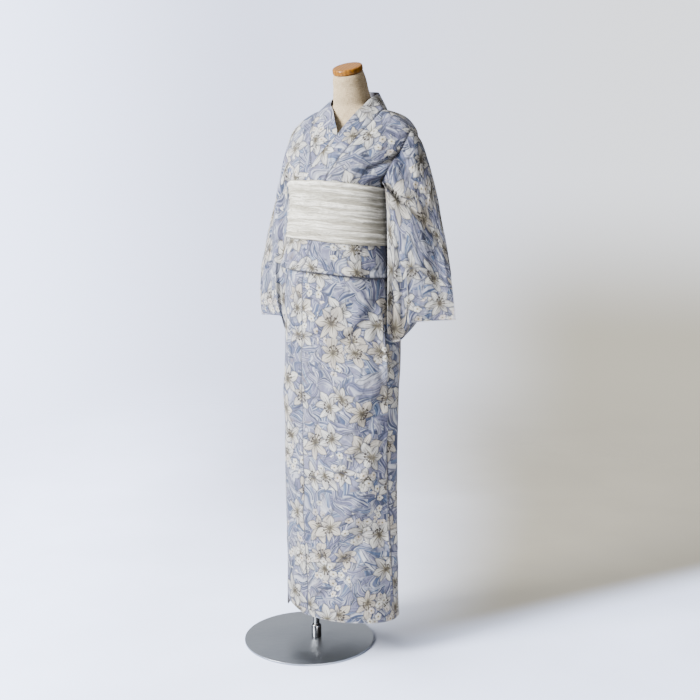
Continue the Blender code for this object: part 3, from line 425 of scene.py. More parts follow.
def light_world():
    """Seen directly the world is the backdrop; it lights the robe softly and unevenly."""
    world = bpy.data.worlds.new("studio")
    bpy.context.scene.world = world
    world.use_nodes = True
    world.node_tree.nodes.clear()
    r = Recipe("studio", world.node_tree)
    way = r.node("TexCoord").outputs["Generated"]
    across = r.dot(way, right)
    fill = r.mix(r.ramp(across, -0.8, 0.7), (0.46, 0.48, 0.55), (0.125, 0.088, 0.045))
    bounce = r.mix(r.ramp(across, -0.8, 0.9), (0.55, 0.57, 0.63), (0.34, 0.32, 0.28))
    up = r.split(way)[2]
    fill = r.mix(r.ramp(up, 0.02, -0.25), fill, bounce)
    fill = r.mix(r.ramp(up, 0.35, 0.95), fill, (1.4, 1.4, 1.44))
    far_side = tuple((ahead * 0.86 - right * 0.51).normalized())
    behind = r.dot(way, far_side)
    fill = r.mix(r.ramp(behind, 0.35, 0.95), fill, (1.15, 1.17, 1.22))
    seen = r.node("LightPath").outputs["Is Camera Ray"]
    glow = r.node("Background", {0: r.mix(seen, fill, backdrop(r, way)), 1: 1.0}).outputs[0]
    r.node("OutputWorld", {0: glow})


light_world()
print("world:", bpy.context.scene.world.name)


# %% [markdown]
# ## Floor
#
# A pale matt floor carries the stand's soft shadow.  A plane with a hard far edge would draw a
# line across the backdrop, so this one is a disc that turns clear far from the stand.  Its
# colours change along the floor's own axes to meet the backdrop's, and they are painted light
# and shade: brighter on one side, darker on the other, with a painted shadow on the far side.

# %% Floor
FLOOR_RADIUS = 4.2
CLEAR_FROM, CLEAR_AT = 1.2, 4.0


def pale_floor():
    """Matt and pale round the stand; further off it fades away and the backdrop shows."""
    r = Recipe("pale_floor")
    place = r.node("TexCoord").outputs["Object"]
    aside, depth = r.dot(place, right), r.dot(place, ahead)
    # Painted light and shade: the floor is brighter on the bright side and darker on the far side.
    colour = r.mix(r.ramp(aside, -1.05, -0.10), BRIGHT_SIDE, MIDDLE)
    colour = r.mix(r.ramp(aside, -0.06, 0.95), colour, FAR_SIDE)
    near = r.mix(r.ramp(aside, -1.05, -0.24), NEAR_BRIGHT, NEAR_MIDDLE)
    colour = r.mix(r.ramp(depth, 1.59, 0.04), colour, near)
    # A painted shadow: a dusky patch on the far side of the floor.
    edge = r.ramp(r.sub(depth, r.mul(aside, 0.55)), -0.30, -0.07)
    start = r.math("MINIMUM", r.sub(r.mul(depth, 0.256), 0.21), 0.11)
    painted_shadow = r.mul(r.ramp(r.sub(aside, start), 0.0, 0.75), edge)
    colour = r.mix(painted_shadow, colour, PAINTED_SHADOW)
    grain = r.noise(place, 3.0, 3.0)["Fac"]
    matt = r.vector("SCALE", colour)
    r.feed(matt.node.inputs["Scale"], r.ramp(grain, 0.3, 0.7, 0.192, 0.204))
    away = r.node("VectorMath", {0: place}, operation="LENGTH").outputs["Value"]
    near = r.node("BsdfDiffuse", {"Color": matt}).outputs[0]
    clear = r.node("BsdfTransparent").outputs[0]
    far = r.ramp(away, CLEAR_FROM, CLEAR_AT)
    both = r.node("MixShader", {0: far, 1: near, 2: clear}).outputs[0]
    output = r.tree.nodes["Material Output"]
    r.tree.links.new(both, output.inputs["Surface"])
    r.tree.nodes.remove(r.shader)
    return r.material


floor_mesh = bpy.data.meshes.new("floor")
builder = bmesh.new()
bmesh.ops.create_circle(builder, cap_ends=True, segments=128, radius=FLOOR_RADIUS)
builder.to_mesh(floor_mesh)
builder.free()
floor = bpy.data.objects.new("floor", floor_mesh)
floor.data.materials.append(pale_floor())
floor.visible_diffuse = False
bpy.context.scene.collection.objects.link(floor)
floor_only = bpy.data.collections.new("floor_only")
floor_only.objects.link(floor)
print("floor:", len(floor_mesh.vertices), "vertices")


# %% [markdown]
# ## Lamps
#
# One broad window in front, toward the robe's right shoulder, models the folds.  A faint low
# lamp lifts the hem.  An even sun is linked to the floor alone, so it can't flatten the cloth.

# %% Lamps
def aim(light, place, target):
    light.location = place
    light.rotation_euler = (Vector(target) - Vector(place)).to_track_quat("-Z", "Y").to_euler()
    bpy.context.scene.collection.objects.link(light)
    return light


def area_lamp(name, place, target, size, energy, colour, spread):
    lamp = bpy.data.lights.new(name, "AREA")
    lamp.shape = "RECTANGLE"
    lamp.size, lamp.size_y = size
    lamp.energy = energy
    lamp.color = colour
    lamp.spread = math.radians(spread)
    light = aim(bpy.data.objects.new(name, lamp), place, target)
    light.visible_camera = False
    return light


area_lamp(
    "window", place=(-1.80, -3.1, 2.50), target=(0.08, 0, 1.30), size=(1.2, 1.9), energy=420,
    colour=(1.0, 0.985, 0.955), spread=120,
)
area_lamp(
    "low_bounce", place=(2.1, -2.0, 0.15), target=(0.1, 0, 0.18), size=(1.6, 0.6), energy=16,
    colour=(1.0, 0.97, 0.94), spread=50,
)

sky = bpy.data.lights.new("floor_sky", "SUN")
sky.energy = 11.5
sky.angle = math.radians(75)
floor_sky = aim(bpy.data.objects.new("floor_sky", sky), (-3.4, -1.2, 4.0), (0, 0, 0))
floor_sky.light_linking.receiver_collection = floor_only

# %% [markdown]
# ## Small mathematics
#
# A panel's edges, seams and folds are all formulas of turn and height, so its points are worked
# out as grids.  These helpers read the tables smoothly and place points on the base skin.

# %% Small mathematics
def read(table, where, number=1):
    """Linear reading of a table's column."""
    return np.interp(where, [row[0] for row in table], [row[number] for row in table])


def smooth_rows(values, where):
    """Smooth (Catmull-Rom) reading of numbers or points at fractional row numbers."""
    values = np.asarray(values, float)
    ends = [2 * values[:1] - values[1:2], values, 2 * values[-1:] - values[-2:-1]]
    padded = np.concatenate(ends)
    where = np.asarray(where, float)
    row = np.clip(np.floor(where).astype(int), 0, len(values) - 2)
    t = where - row
    if values.ndim == 2:
        t = t[..., None]
    p0, p1, p2, p3 = (padded[row + k] for k in range(4))
    return (
        (2 * t**3 - 3 * t**2 + 1) * p1 + (t**3 - 2 * t**2 + t) * (p2 - p0) / 2
        + (-2 * t**3 + 3 * t**2) * p2 + (t**3 - t**2) * (p3 - p1) / 2
    )


def smooth_step(low, high, value):
    share = np.clip((np.asarray(value, float) - low) / (high - low), 0, 1)
    return share * share * (3 - 2 * share)


def wander(x, seed, scale=1.0):
    """A smooth uneven line between about -1 and 1, the same on every run."""
    total = 0.0
    for number in range(1, 6):
        pitch = scale * number * (0.8 + 0.37 * math.sin(seed * 3.7 + number * 1.9))
        total = total + np.sin(x * pitch + seed * 5.1 * number + number**2) / number**0.8
    return total / 2.3


def unit(vectors):
    return vectors / np.maximum(np.linalg.norm(vectors, axis=-1, keepdims=True), 1e-12)


def steps(start, end, spacing):
    """Even steps from start to end, about the given distance apart."""
    return np.linspace(start, end, max(2, int(round(abs(end - start) / spacing)) + 1))


SKIN = np.array(SKIN_ROWS)
LEVEL_STEPS = np.linspace(0, RIDGE_LEVEL, 3801)
LEVEL_HEIGHTS = smooth_rows(SKIN[:, 0], LEVEL_STEPS)


def level_at(height):
    return np.interp(height, LEVEL_HEIGHTS, LEVEL_STEPS)


def ring_place(turn, half_width, y_side, y_front, y_back, roundness=ROUNDNESS):
    """Across, depth and share of the half width of a place on a rounded ring."""
    across = np.sin(np.radians(turn))
    forward = np.cos(np.radians(turn))
    reach = (np.abs(across) ** roundness + np.abs(forward) ** roundness) ** (-1 / roundness)
    depth = np.where(forward > 0, y_side - y_front, y_back - y_side)
    return half_width * across * reach, y_side - depth * forward * reach, np.abs(across) * reach


def skin_place(turn, level):
    turn, level = np.broadcast_arrays(turn, level)
    z_front, z_back, z_side, half, y_side, y_front, y_back = (
        smooth_rows(SKIN[:, number], level) for number in range(7)
    )
    x, y, share = ring_place(turn, half, y_side, y_front, y_back)
    z_middle = np.where(np.cos(np.radians(turn)) > 0, z_front, z_back)
    return np.stack([x, y, z_middle + (z_side - z_middle) * share**SHOULDER_SLOPE], -1)


def skin_normal(turn, level):
    high = np.minimum(level + 0.03, RIDGE_LEVEL)
    low = np.maximum(high - 0.06, 0)
    round_it = skin_place(turn + 0.6, level) - skin_place(turn - 0.6, level)
    return unit(np.cross(round_it, skin_place(turn, high) - skin_place(turn, low)))


def turn_at(x, level, back=False):
    """The turn at which a level's ring lies the given distance across."""
    share = np.clip(np.abs(x) / smooth_rows(SKIN[:, 3], level), 0, 1 - 1e-9) ** ROUNDNESS
    turn = np.degrees(np.arctan((share / (1 - share)) ** (1 / ROUNDNESS)))
    sign = np.where(np.asarray(x) < 0, -1.0, 1.0)
    return sign * (180 - turn) if back else sign * turn


print("ridge of the shoulders at", round(float(LEVEL_HEIGHTS[-1]), 4), "m")


# %% [markdown]
# ## Folds
#
# Long soft folds are shared by every layer, so that no layer cuts into the next.  A long fold
# is a line in turn and height; a crease is a short segment with one steep and one gentle flank.

# %% Folds of the skirt and bodice
FOLDS = [
    # turn_low z_low turn_high z_high depth width
    (79, 0.18, 65, 0.93, 0.0105, 0.0080), (86, 0.16, 72, 0.92, -0.0120, 0.0080),
    (104, 0.20, 94, 0.90, 0.0050, 0.020),
    (-34, 0.30, 30, 0.93, -0.0035, 0.026), (-20, 0.14, 52, 0.62, -0.0030, 0.024),
    (20, 0.12, 66, 0.44, 0.0030, 0.020), (-46, 0.52, 2, 0.97, 0.0025, 0.024),
    (-78, 0.16, -66, 0.84, -0.0040, 0.024), (-100, 0.20, -92, 0.90, 0.0045, 0.022),
    (-128, 0.12, -122, 0.80, -0.0045, 0.028), (-156, 0.24, -150, 0.93, 0.0030, 0.026),
    (172, 0.12, 168, 0.78, -0.0040, 0.028), (140, 0.20, 146, 0.95, 0.0040, 0.026),
    (122, 0.12, 118, 0.70, -0.0045, 0.026), (60, 1.23, 34, 1.33, -0.0035, 0.018),
    (-58, 1.23, -36, 1.32, -0.0030, 0.018), (150, 1.22, 158, 1.34, -0.0040, 0.022),
    (-148, 1.22, -160, 1.33, -0.0035, 0.022),
]
FOLD_FADE = 0.08
FOLD_RADIUS = 0.13            # turns are made lengths at this distance from the middle
CREASE_STRENGTH = 2.7
CREASE_SAG = 0.012
RUMPLE = 0.0007
CREASES = [
    # turn_1 z_1  turn_2 z_2  depth  flank_below flank_above
    (86, 0.870, 20, 0.570, 0.0046, 0.013, 0.048),
    (88, 0.770, 24, 0.500, 0.0036, 0.012, 0.030),
    (80, 0.660, 8, 0.380, 0.0040, 0.013, 0.046),
    (70, 0.500, -8, 0.260, 0.0036, 0.014, 0.044),
    (45, 0.960, -20, 0.830, -0.0022, 0.014, 0.012),
    (-30, 0.900, -58, 0.620, 0.0022, 0.018, 0.026),
    (55, 0.645, 15, 0.460, -0.0032, 0.020, 0.010),
    (65, 0.550, 18, 0.360, 0.0030, 0.010, 0.020),
    (55, 0.390, 12, 0.220, -0.0036, 0.024, 0.012),
    (71, 0.985, 8, 0.800, -0.0026, 0.018, 0.009),
    (30, 0.250, -8, 0.150, -0.0026, 0.016, 0.009),
    (-20, 0.700, -52, 0.500, -0.0022, 0.018, 0.010),
    (-12, 0.420, -48, 0.270, 0.0022, 0.012, 0.020),
    (-60, 0.900, -108, 0.700, -0.0030, 0.018, 0.009),
    (-66, 0.640, -120, 0.430, -0.0030, 0.022, 0.010),
    (-72, 0.420, -112, 0.250, 0.0026, 0.011, 0.021),
    (160, 0.880, 112, 0.700, -0.0030, 0.020, 0.010),
    (168, 0.660, 118, 0.440, 0.0026, 0.011, 0.022),
    (150, 0.420, 104, 0.250, -0.0030, 0.022, 0.011),
    (-172, 0.820, -132, 0.620, -0.0028, 0.020, 0.010),
    (-166, 0.520, -126, 0.330, 0.0026, 0.011, 0.022),
    (84, 1.345, 40, 1.262, -0.0030, 0.012, 0.007),
    (78, 1.300, 46, 1.240, 0.0022, 0.008, 0.012),
    (-80, 1.335, -42, 1.255, -0.0030, 0.012, 0.007),
    (-74, 1.290, -48, 1.235, 0.0020, 0.008, 0.012),
    (128, 1.370, 158, 1.270, -0.0028, 0.013, 0.007),
    (118, 1.330, 148, 1.240, 0.0022, 0.008, 0.013),
    (-126, 1.370, -158, 1.275, -0.0028, 0.013, 0.007),
    (-116, 1.325, -146, 1.240, 0.0022, 0.008, 0.013),
]
TUCK_PUCKERS = [
    # turn depth width, in the outer layer of the waist tuck
    (-70, 0.0016, 5), (-54, -0.0014, 4), (-36, 0.0012, 6), (-14, -0.0016, 4), (6, 0.0014, 5),
    (24, -0.0012, 4), (40, 0.0016, 5), (57, -0.0018, 4), (74, 0.0020, 5), (96, -0.0018, 5),
    (118, 0.0016, 6), (140, -0.0016, 5), (162, 0.0016, 6), (-174, -0.0016, 5),
    (-150, 0.0016, 6), (-126, -0.0018, 5), (-104, 0.0018, 6), (-86, -0.0014, 4),
]
# The tuck is fuller at the wearer's right.
TUCK_BULGE, TUCK_BULGE_TURN, TUCK_BULGE_WIDTH = 0.0085, -62, 24


def turn_apart(turn, other):
    return (turn - other + 180) % 360 - 180


def fold_depth(turn, height):
    """How far the folds push the cloth out."""
    total = np.zeros(np.broadcast(turn, height).shape)
    for turn_low, z_low, turn_high, z_high, depth, width in FOLDS:
        share = (height - z_low) / (z_high - z_low)
        away = turn_apart(turn, turn_low + share * (turn_high - turn_low))
        strength = smooth_step(z_low - FOLD_FADE, z_low + FOLD_FADE, height)
        strength = strength * (1 - smooth_step(z_high - FOLD_FADE, z_high + FOLD_FADE, height))
        total += depth * strength * np.exp(-((np.radians(away) * FOLD_RADIUS / width) ** 2))
    for turn_1, z_1, turn_2, z_2, depth, below, above in CREASES:
        run = np.array([math.radians(turn_2 - turn_1) * FOLD_RADIUS, z_2 - z_1])
        length = np.hypot(*run)
        across = np.radians(turn_apart(turn, turn_1)) * FOLD_RADIUS
        up = height - z_1
        along = (across * run[0] + up * run[1]) / length**2
        sag = CREASE_SAG * np.sin(math.pi * np.clip(along, 0, 1))
        off = (up * abs(run[0]) - across * run[1] * np.sign(run[0])) / length + sag
        flank = np.where(off > 0, above, below)
        taper = smooth_step(-0.05, 0.25, along) * (1 - smooth_step(0.72, 1.05, along))
        total += CREASE_STRENGTH * depth * taper * np.exp(-((off / flank) ** 2))
    rumple = wander(turn * 0.09 + height * 9, 1.3, 1.7)
    rumple = rumple * wander(height * 13 - turn * 0.03, 4.1, 1.9)
    under_sash = smooth_step(1.02, 1.06, height) * (1 - smooth_step(1.2, 1.24, height))
    return total + RUMPLE * rumple * (1 - under_sash)


def cloth_place(side, turn, level, out):
    """A place at a distance out from where a piece's layer lies; side 1 is the left."""
    place = skin_place(turn, level)
    height = place[..., 2]
    wound = (360 if side > 0 else 0) + HIDDEN_EDGE_TURN - turn
    away = out + read(WRAP_PITCH, height) * wound / 360 + fold_depth(turn, height)
    return place + skin_normal(turn, level) * np.asarray(away)[..., None]


def hem_lift(side, turn, height):
    lift = read(HEM_LINE, turn) - HEM_HEIGHT
    if side < 0:
        inner = 0.012 * smooth_step(-75, -45, turn)
        lift = inner + np.maximum(lift, 0) * smooth_step(-70, -48, turn)
    lift = lift - 0.010 * np.exp(-(((turn + 62) / 26) ** 2)) * (side < 0)
    return lift * (1 - smooth_step(HEM_HEIGHT, 0.55, height))


def tuck_drop(turn, height):
    drop = 0.015 * smooth_step(-10, 80, turn) * (1 - 0.5 * smooth_step(90, 180, turn))
    return drop * smooth_step(TUCK_TOP, TUCK_BOTTOM + 0.02, height)


print("folds:", len(FOLDS), "long,", len(CREASES), "creases,", len(TUCK_PUCKERS), "puckers")


# %% [markdown]
# ## From grids to sheets
#
# Each sheet of cloth is a closed shell: a grid of face places and a grid of back places.  Its
# UV map is in metres of cloth, so that print and weave keep their size, and the attribute
# `hem` is the distance from the nearest finished edge.

# %% Shell builder
def grid_normals(points):
    """Directions square to a grid whose rows close on themselves."""
    up = (np.roll(points, -1, 0) - np.roll(points, 1, 0)) / 2
    return unit(np.cross(np.gradient(points, axis=1), up))


def add_piece(name, mesh, node, slot, *more_nodes):
    """Link a mesh as a piece that rides on the frame and stands for CAD nodes."""
    piece = bpy.data.objects.new(name, mesh)
    bpy.context.scene.collection.objects.link(piece)
    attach(piece, "root")
    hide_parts(node, *more_nodes)
    print(f"{name}: {len(mesh.vertices)} vertices, {len(mesh.polygons)} faces")
    return piece


def mesh_from(name, points, faces, uvs, labels):
    mesh = bpy.data.meshes.new(name)
    mesh.vertices.add(len(points))
    mesh.vertices.foreach_set("co", np.asarray(points, np.float32).ravel())
    faces = np.asarray(faces, np.int32)
    mesh.loops.add(faces.size)
    mesh.loops.foreach_set("vertex_index", faces.ravel())
    mesh.polygons.add(len(faces))
    mesh.polygons.foreach_set("loop_start", np.arange(0, faces.size, 4, dtype=np.int32))
    mesh.update(calc_edges=True)
    layer = mesh.uv_layers.new(name="cloth")
    layer.data.foreach_set("uv", np.asarray(uvs, np.float32)[faces.ravel()].ravel())
    for label, values in labels.items():
        attribute = mesh.attributes.new(label, "FLOAT", "POINT")
        attribute.data.foreach_set("value", np.asarray(values, np.float32).ravel())
    mesh.validate()
    mesh.shade_smooth()
    mesh.set_sharp_from_angle(angle=math.radians(50))
    return mesh


def shell(name, face, back, uv, labels, cyclic=False, flip=False):
    """A closed wall between two grids of rows x columns x 3, in garment coordinates."""
    rows, columns = face.shape[:2]
    number = np.arange(rows * columns).reshape(rows, columns)
    if cyclic:
        number = np.concatenate([number, number[:1]])
    outer = np.stack([number[:-1, :-1], number[:-1, 1:], number[1:, 1:], number[1:, :-1]], -1)
    outer = outer.reshape(-1, 4)
    count = rows * columns
    rims = []
    borders = [number[:, 0], number[::-1, -1]]
    if not cyclic:
        borders += [number[0, ::-1], number[-1, :]]
    for border in borders:
        a, b = border[:-1], border[1:]
        rims.append(np.stack([a, b, b + count, a + count], -1))
    faces = np.concatenate([outer, outer[:, ::-1] + count] + rims)
    if flip:
        faces = faces[:, ::-1]
    points = np.concatenate([face.reshape(-1, 3), back.reshape(-1, 3)]) + TORSO_AT
    uvs = np.concatenate([uv.reshape(-1, 2)] * 2)
    labels = {
        key: np.tile(np.broadcast_to(value, face.shape[:2]).ravel(), 2)
        for key, value in labels.items()
    }
    labels["inside"] = np.repeat([0.0, 1.0], count)
    return mesh_from(name, points, faces, uvs, labels)


def cloth_uv(points, seam_column, offset):
    """Metres across from one column, and metres along the rows."""
    across = np.linalg.norm(np.diff(points, axis=1), axis=-1)
    across = np.concatenate([np.zeros((len(points), 1)), np.cumsum(across, 1)], 1)
    across = across - across[:, seam_column : seam_column + 1 or None]
    along = np.linalg.norm(np.diff(points, axis=0), axis=-1).mean(1)
    along = np.concatenate([[0], np.cumsum(along)])
    return np.stack([across, np.broadcast_to(along[:, None], across.shape)], -1) + offset


print("cloth that shows is", CLOTH * 1000, "mm thick")


# %% [markdown]
# ## Body panels and okumi
#
# Each body panel is one length of cloth, up the front, over the shoulder and down the back.
# At the waist it folds down and up again: the tuck whose soft lower edge shows under the sash.

# %% The rows of a panel below the chest
def tuck_profile():
    """Rows as (layer, height, out of the middle, its direction out, its direction up)."""
    half = CLOTH / 2
    skirt_out = WALL - half
    tuck_out = TUCK_STEP + WALL / 2
    outer_out = 2 * TUCK_STEP + WALL - half
    rows = [(0, z, skirt_out, 1, 0) for z in steps(HEM_HEIGHT, TUCK_TOP - 0.002, 0.0046)]
    radius = (tuck_out - skirt_out) / 2
    for angle in np.linspace(30, 150, 5):
        c, s = math.cos(math.radians(angle)), math.sin(math.radians(angle))
        rows.append((0, TUCK_TOP - radius - half + radius * s, skirt_out + radius * (1 - c), c, s))
    rows += [(1, z, tuck_out, -1, 0) for z in steps(TUCK_TOP - 0.004, TUCK_BOTTOM + 0.004, 0.005)]
    radius = (outer_out - tuck_out) / 2
    for angle in np.linspace(20, 160, 7):
        c, s = math.cos(math.radians(angle)), math.sin(math.radians(angle))
        height = TUCK_BOTTOM + half + radius * (1 - s)
        rows.append((2, height, tuck_out + radius * (1 - c), -c, -s))
    for z in steps(TUCK_BOTTOM + 0.0045, YOKE_HEIGHT, 0.0046):
        rows.append((2, z, float(read(TUCK_LIFT, z)) + WALL - half, 1, 0))
    return rows


PROFILE = tuck_profile()
SEAM_RADIUS = 0.14
HALF_GAP = math.degrees(SEAM_GAP / 2 / SEAM_RADIUS)
print("rows below the chest:", len(PROFILE))


def seam_turn(side, layer, height):
    x = read(SKIRT_SEAM, height)
    if layer == 2:
        x = x + (read(BODICE_SEAM, height) - x) * smooth_step(TUCK_BOTTOM, 1.034, height)
    return float(turn_at(side * x, level_at(height)))


def lower_grids(side, profile, turns):
    """Face and back grids of the rows below the chest; turns is rows x columns."""
    layer = np.array([row[0] for row in profile])[:, None]
    height = np.array([row[1] for row in profile])[:, None]
    grids = []
    for way in (0.5, -0.5):
        z = height + way * CLOTH * np.array([row[4] for row in profile])[:, None]
        out = np.array([row[2] + way * CLOTH * row[3] for row in profile])[:, None]
        z = np.where(layer == 0, z + hem_lift(side, turns, z), z - tuck_drop(turns, z))
        pucker = sum(
            depth * np.exp(-((turn_apart(turns, at) / width) ** 2))
            for at, depth, width in TUCK_PUCKERS
        )
        swell = smooth_step(TUCK_TOP - 0.01, TUCK_BOTTOM + 0.03, height) * (layer > 0)
        roll = 0.0048 * np.exp(-(((height - TUCK_BOTTOM) / 0.015) ** 2)) * (layer > 0)
        pinch = -0.0020 * np.exp(-(((height - TUCK_BOTTOM + 0.010) / 0.012) ** 2)) * (layer == 0)
        bulge = turn_apart(turns, TUCK_BULGE_TURN) / TUCK_BULGE_WIDTH
        pucker = pucker + TUCK_BULGE * np.exp(-(bulge**2))
        out = out + (0.0012 + pucker) * swell + roll + pinch
        grids.append(cloth_place(side, turns, level_at(z), out))
    return grids


def tuck_line(grid, profile):
    """Distance from the line where the tuck's folded edge meets the skirt."""
    layer = np.array([row[0] for row in profile])[:, None]
    height = grid[: len(profile), :, 2]
    edge = np.where(layer == 2, height, 9.0).min(0)
    away = np.where(layer == 0, 0.55 * np.abs(height - edge), 1.3 * (height - edge)) - 0.0008
    return np.where(layer == 1, 1.0, away)


def body_grids(side, columns=46):
    share = np.linspace(0, 1, columns)
    ends = []
    for layer, height, *_ in PROFILE:
        edge = side * float(read(SIDE_SEAM, height))
        ends.append((seam_turn(side, layer, height) + side * HALF_GAP, edge - side * HALF_GAP))
    ends = np.array(ends)
    front = lower_grids(side, PROFILE, ends[:, :1] + (ends[:, 1:] - ends[:, :1]) * share)
    ends = np.array([
        (side * (180 - HALF_GAP), side * (float(read(SIDE_SEAM, row[1])) + HALF_GAP))
        for row in PROFILE
    ])
    rear = lower_grids(side, PROFILE, ends[:, :1] + (ends[:, 1:] - ends[:, :1]) * share)

    def yoke(table, levels, back):
        grids = []
        start = turn_at(side * (read(table, levels, 1) + SEAM_GAP / 2), levels, back)
        end = turn_at(side * (read(table, levels, 2) - SEAM_GAP / 2), levels, back)
        turns = start[:, None] + (end - start)[:, None] * share
        for out in (WALL, WALL - CLOTH):
            grids.append(cloth_place(side, turns, levels[:, None] + 0 * turns, out))
        return grids

    def chest(table, back):
        """Rows from the last lower row up to the chest level."""
        bottom = level_at(YOKE_HEIGHT)
        levels = np.linspace(bottom, YOKE_LEVEL, 12)[1:-1]
        mix = (levels - bottom) / (YOKE_LEVEL - bottom)
        low = ends_at_top[back]
        start = turn_at(side * (table[0][1] + SEAM_GAP / 2), YOKE_LEVEL, back)
        end = turn_at(side * (table[0][2] - SEAM_GAP / 2), YOKE_LEVEL, back)
        first = low[0] + (start - low[0]) * mix
        last = low[1] + (end - low[1]) * mix
        turns = first[:, None] + (last - first)[:, None] * share
        where = levels[:, None] + 0 * turns
        return [cloth_place(side, turns, where, out) for out in (WALL, WALL - CLOTH)]

    edge = side * float(read(SIDE_SEAM, YOKE_HEIGHT))
    ends_at_top = {
        False: (seam_turn(side, 2, YOKE_HEIGHT) + side * HALF_GAP, edge - side * HALF_GAP),
        True: (side * (180 - HALF_GAP), edge + side * HALF_GAP),
    }
    up = steps(YOKE_LEVEL, RIDGE_LEVEL, 0.16)
    parts = [
        front, chest(FRONT_YOKE, False), yoke(FRONT_YOKE, up, False),
        yoke(BACK_YOKE, up[-2::-1], True), [g[::-1] for g in chest(BACK_YOKE, True)],
        [g[::-1] for g in rear],
    ]
    return [np.concatenate([part[n] for part in parts]) for n in (0, 1)]


def body_panel(side, name, offset):
    face, back = body_grids(side)
    uv = cloth_uv((face + back) / 2, -1, offset)
    along = uv[..., 1] - uv[0, 0, 1]
    hem = np.minimum(along, along.max() - along)
    width = uv[..., 0] - uv[:, -1:, 0]
    seam = np.minimum(np.abs(width), np.abs(width - width[:, :1]))
    count = len(PROFILE)
    # The tuck's folded edge joins the seam distances, so the painted seam shade also runs under it.
    for grid, rows in ((face, slice(None, count)), (face[::-1], slice(None, -count - 1, -1))):
        seam[rows] = np.minimum(seam[rows], tuck_line(grid, PROFILE))
    mesh = shell(name, face, back, uv, {"hem": hem, "seam": seam}, flip=side < 0)
    print(name, "strip length", round(float(along.max()), 3), "m")
    return mesh


# %% [markdown]
# ## Okumi
#
# The okumi is the narrow strip sewn to each front edge, so that the fronts can overlap.  It is
# made from the same rows as its panel, and its free edge has a plain hem.

# %% Okumi
def okumi(side, name, offset, columns=20):
    profile = [row for row in PROFILE if not (row[0] == 2 and row[1] > TUCK_TOP + 0.008)]
    share = np.linspace(0, 1, columns)
    turns = []
    for layer, height, *_ in profile:
        start = seam_turn(side, layer, height) - side * HALF_GAP
        end = float(HIDDEN_EDGE_TURN)
        if side > 0:
            end = -47 - 15 * float(smooth_step(HEM_HEIGHT, 0.75, height))
        turns.append(start + (end - start) * share)
    face, back = lower_grids(side, profile, np.array(turns))
    uv = cloth_uv((face + back) / 2, 0, offset)
    along = uv[..., 1] - uv[0, 0, 1]
    across = np.abs(uv[..., 0] - uv[:, :1, 0])
    hem = np.minimum(along, across.max(1, keepdims=True) - across)
    # The tuck's folded edge joins the seam distance, so the painted seam shade also runs under it.
    seam = np.minimum(across, tuck_line(face, profile))
    return shell(name, face, back, uv, {"hem": hem, "seam": seam}, flip=side > 0)


print("left okumi seam at knee height: turn", round(seam_turn(1, 0, 0.5), 2))


# %% [markdown]
# ## Collar
#
# One folded band runs from the left waist round the nape to the right.  It stands off the neck
# at the back, and its two ends cross at the chest.

# %% Collar
NAPE_SEAM_LIFT = 0.0009
NECK_MIDDLE_Y = 0.054


def collar_stations():
    """Coarse stations of the band, each as seam and edge places of its face and back."""
    stations = []

    def chest(side, seam_z, inward, up):
        x = read(BODICE_SEAM, seam_z) if seam_z <= 1.24 else read(FRONT_YOKE, level_at(seam_z))
        lift = float(read(TUCK_LIFT, seam_z))
        line = []
        for share in np.linspace(0, 1, 4):
            across = side * (x - SEAM_GAP / 2 - inward * share)
            level = level_at(seam_z + up * share)
            turn = turn_at(across, level)
            for out in (COLLAR_THICKNESS, 0.0):
                line.append(cloth_place(side, turn, level, lift + out))
        return np.array(line).reshape(4, 2, 3)

    def neck(side, back, level, x_seam, x_left, x_right, y, z):
        x = x_left if side > 0 else x_right
        turn = turn_at(side * (x_seam - SEAM_GAP / 2), level, back) if x_seam else 180.0
        seam = cloth_place(side, turn, level, 0)
        seam_face = cloth_place(side, turn, level, COLLAR_THICKNESS)
        if back and level <= 16.5:
            seam[2] += NAPE_SEAM_LIFT
            seam_face[2] += NAPE_SEAM_LIFT
        edge = np.array([side * x, y, z])
        wound = (360 if side > 0 else 0) + HIDDEN_EDGE_TURN - turn
        outward = unit(np.array([edge[0], edge[1] - NECK_MIDDLE_Y, 0.0]))
        outward = unit(outward + np.array([0, 0, -0.15]))
        edge = edge + outward * float(read(WRAP_PITCH, z)) * wound / 360
        edge_face = edge + outward * COLLAR_THICKNESS
        if level <= 15 and not back:
            edge_face = edge + skin_normal(turn, level) * COLLAR_THICKNESS
        share = np.linspace(0, 1, 4)[:, None]
        face = seam_face + (edge_face - seam_face) * share
        return np.stack([face, seam + (edge - seam) * share], 1)

    for side in (1, -1):
        rows = [chest(side, *row) for row in COLLAR_ON_CHEST]
        rows += [neck(side, False, *row) for row in COLLAR_ROUND_NECK]
        nape = COLLAR_ROUND_NAPE if side > 0 else COLLAR_ROUND_NAPE[:-1]
        rows += [neck(side, True, *row) for row in nape]
        stations += rows if side > 0 else rows[::-1]
    return np.array(stations)


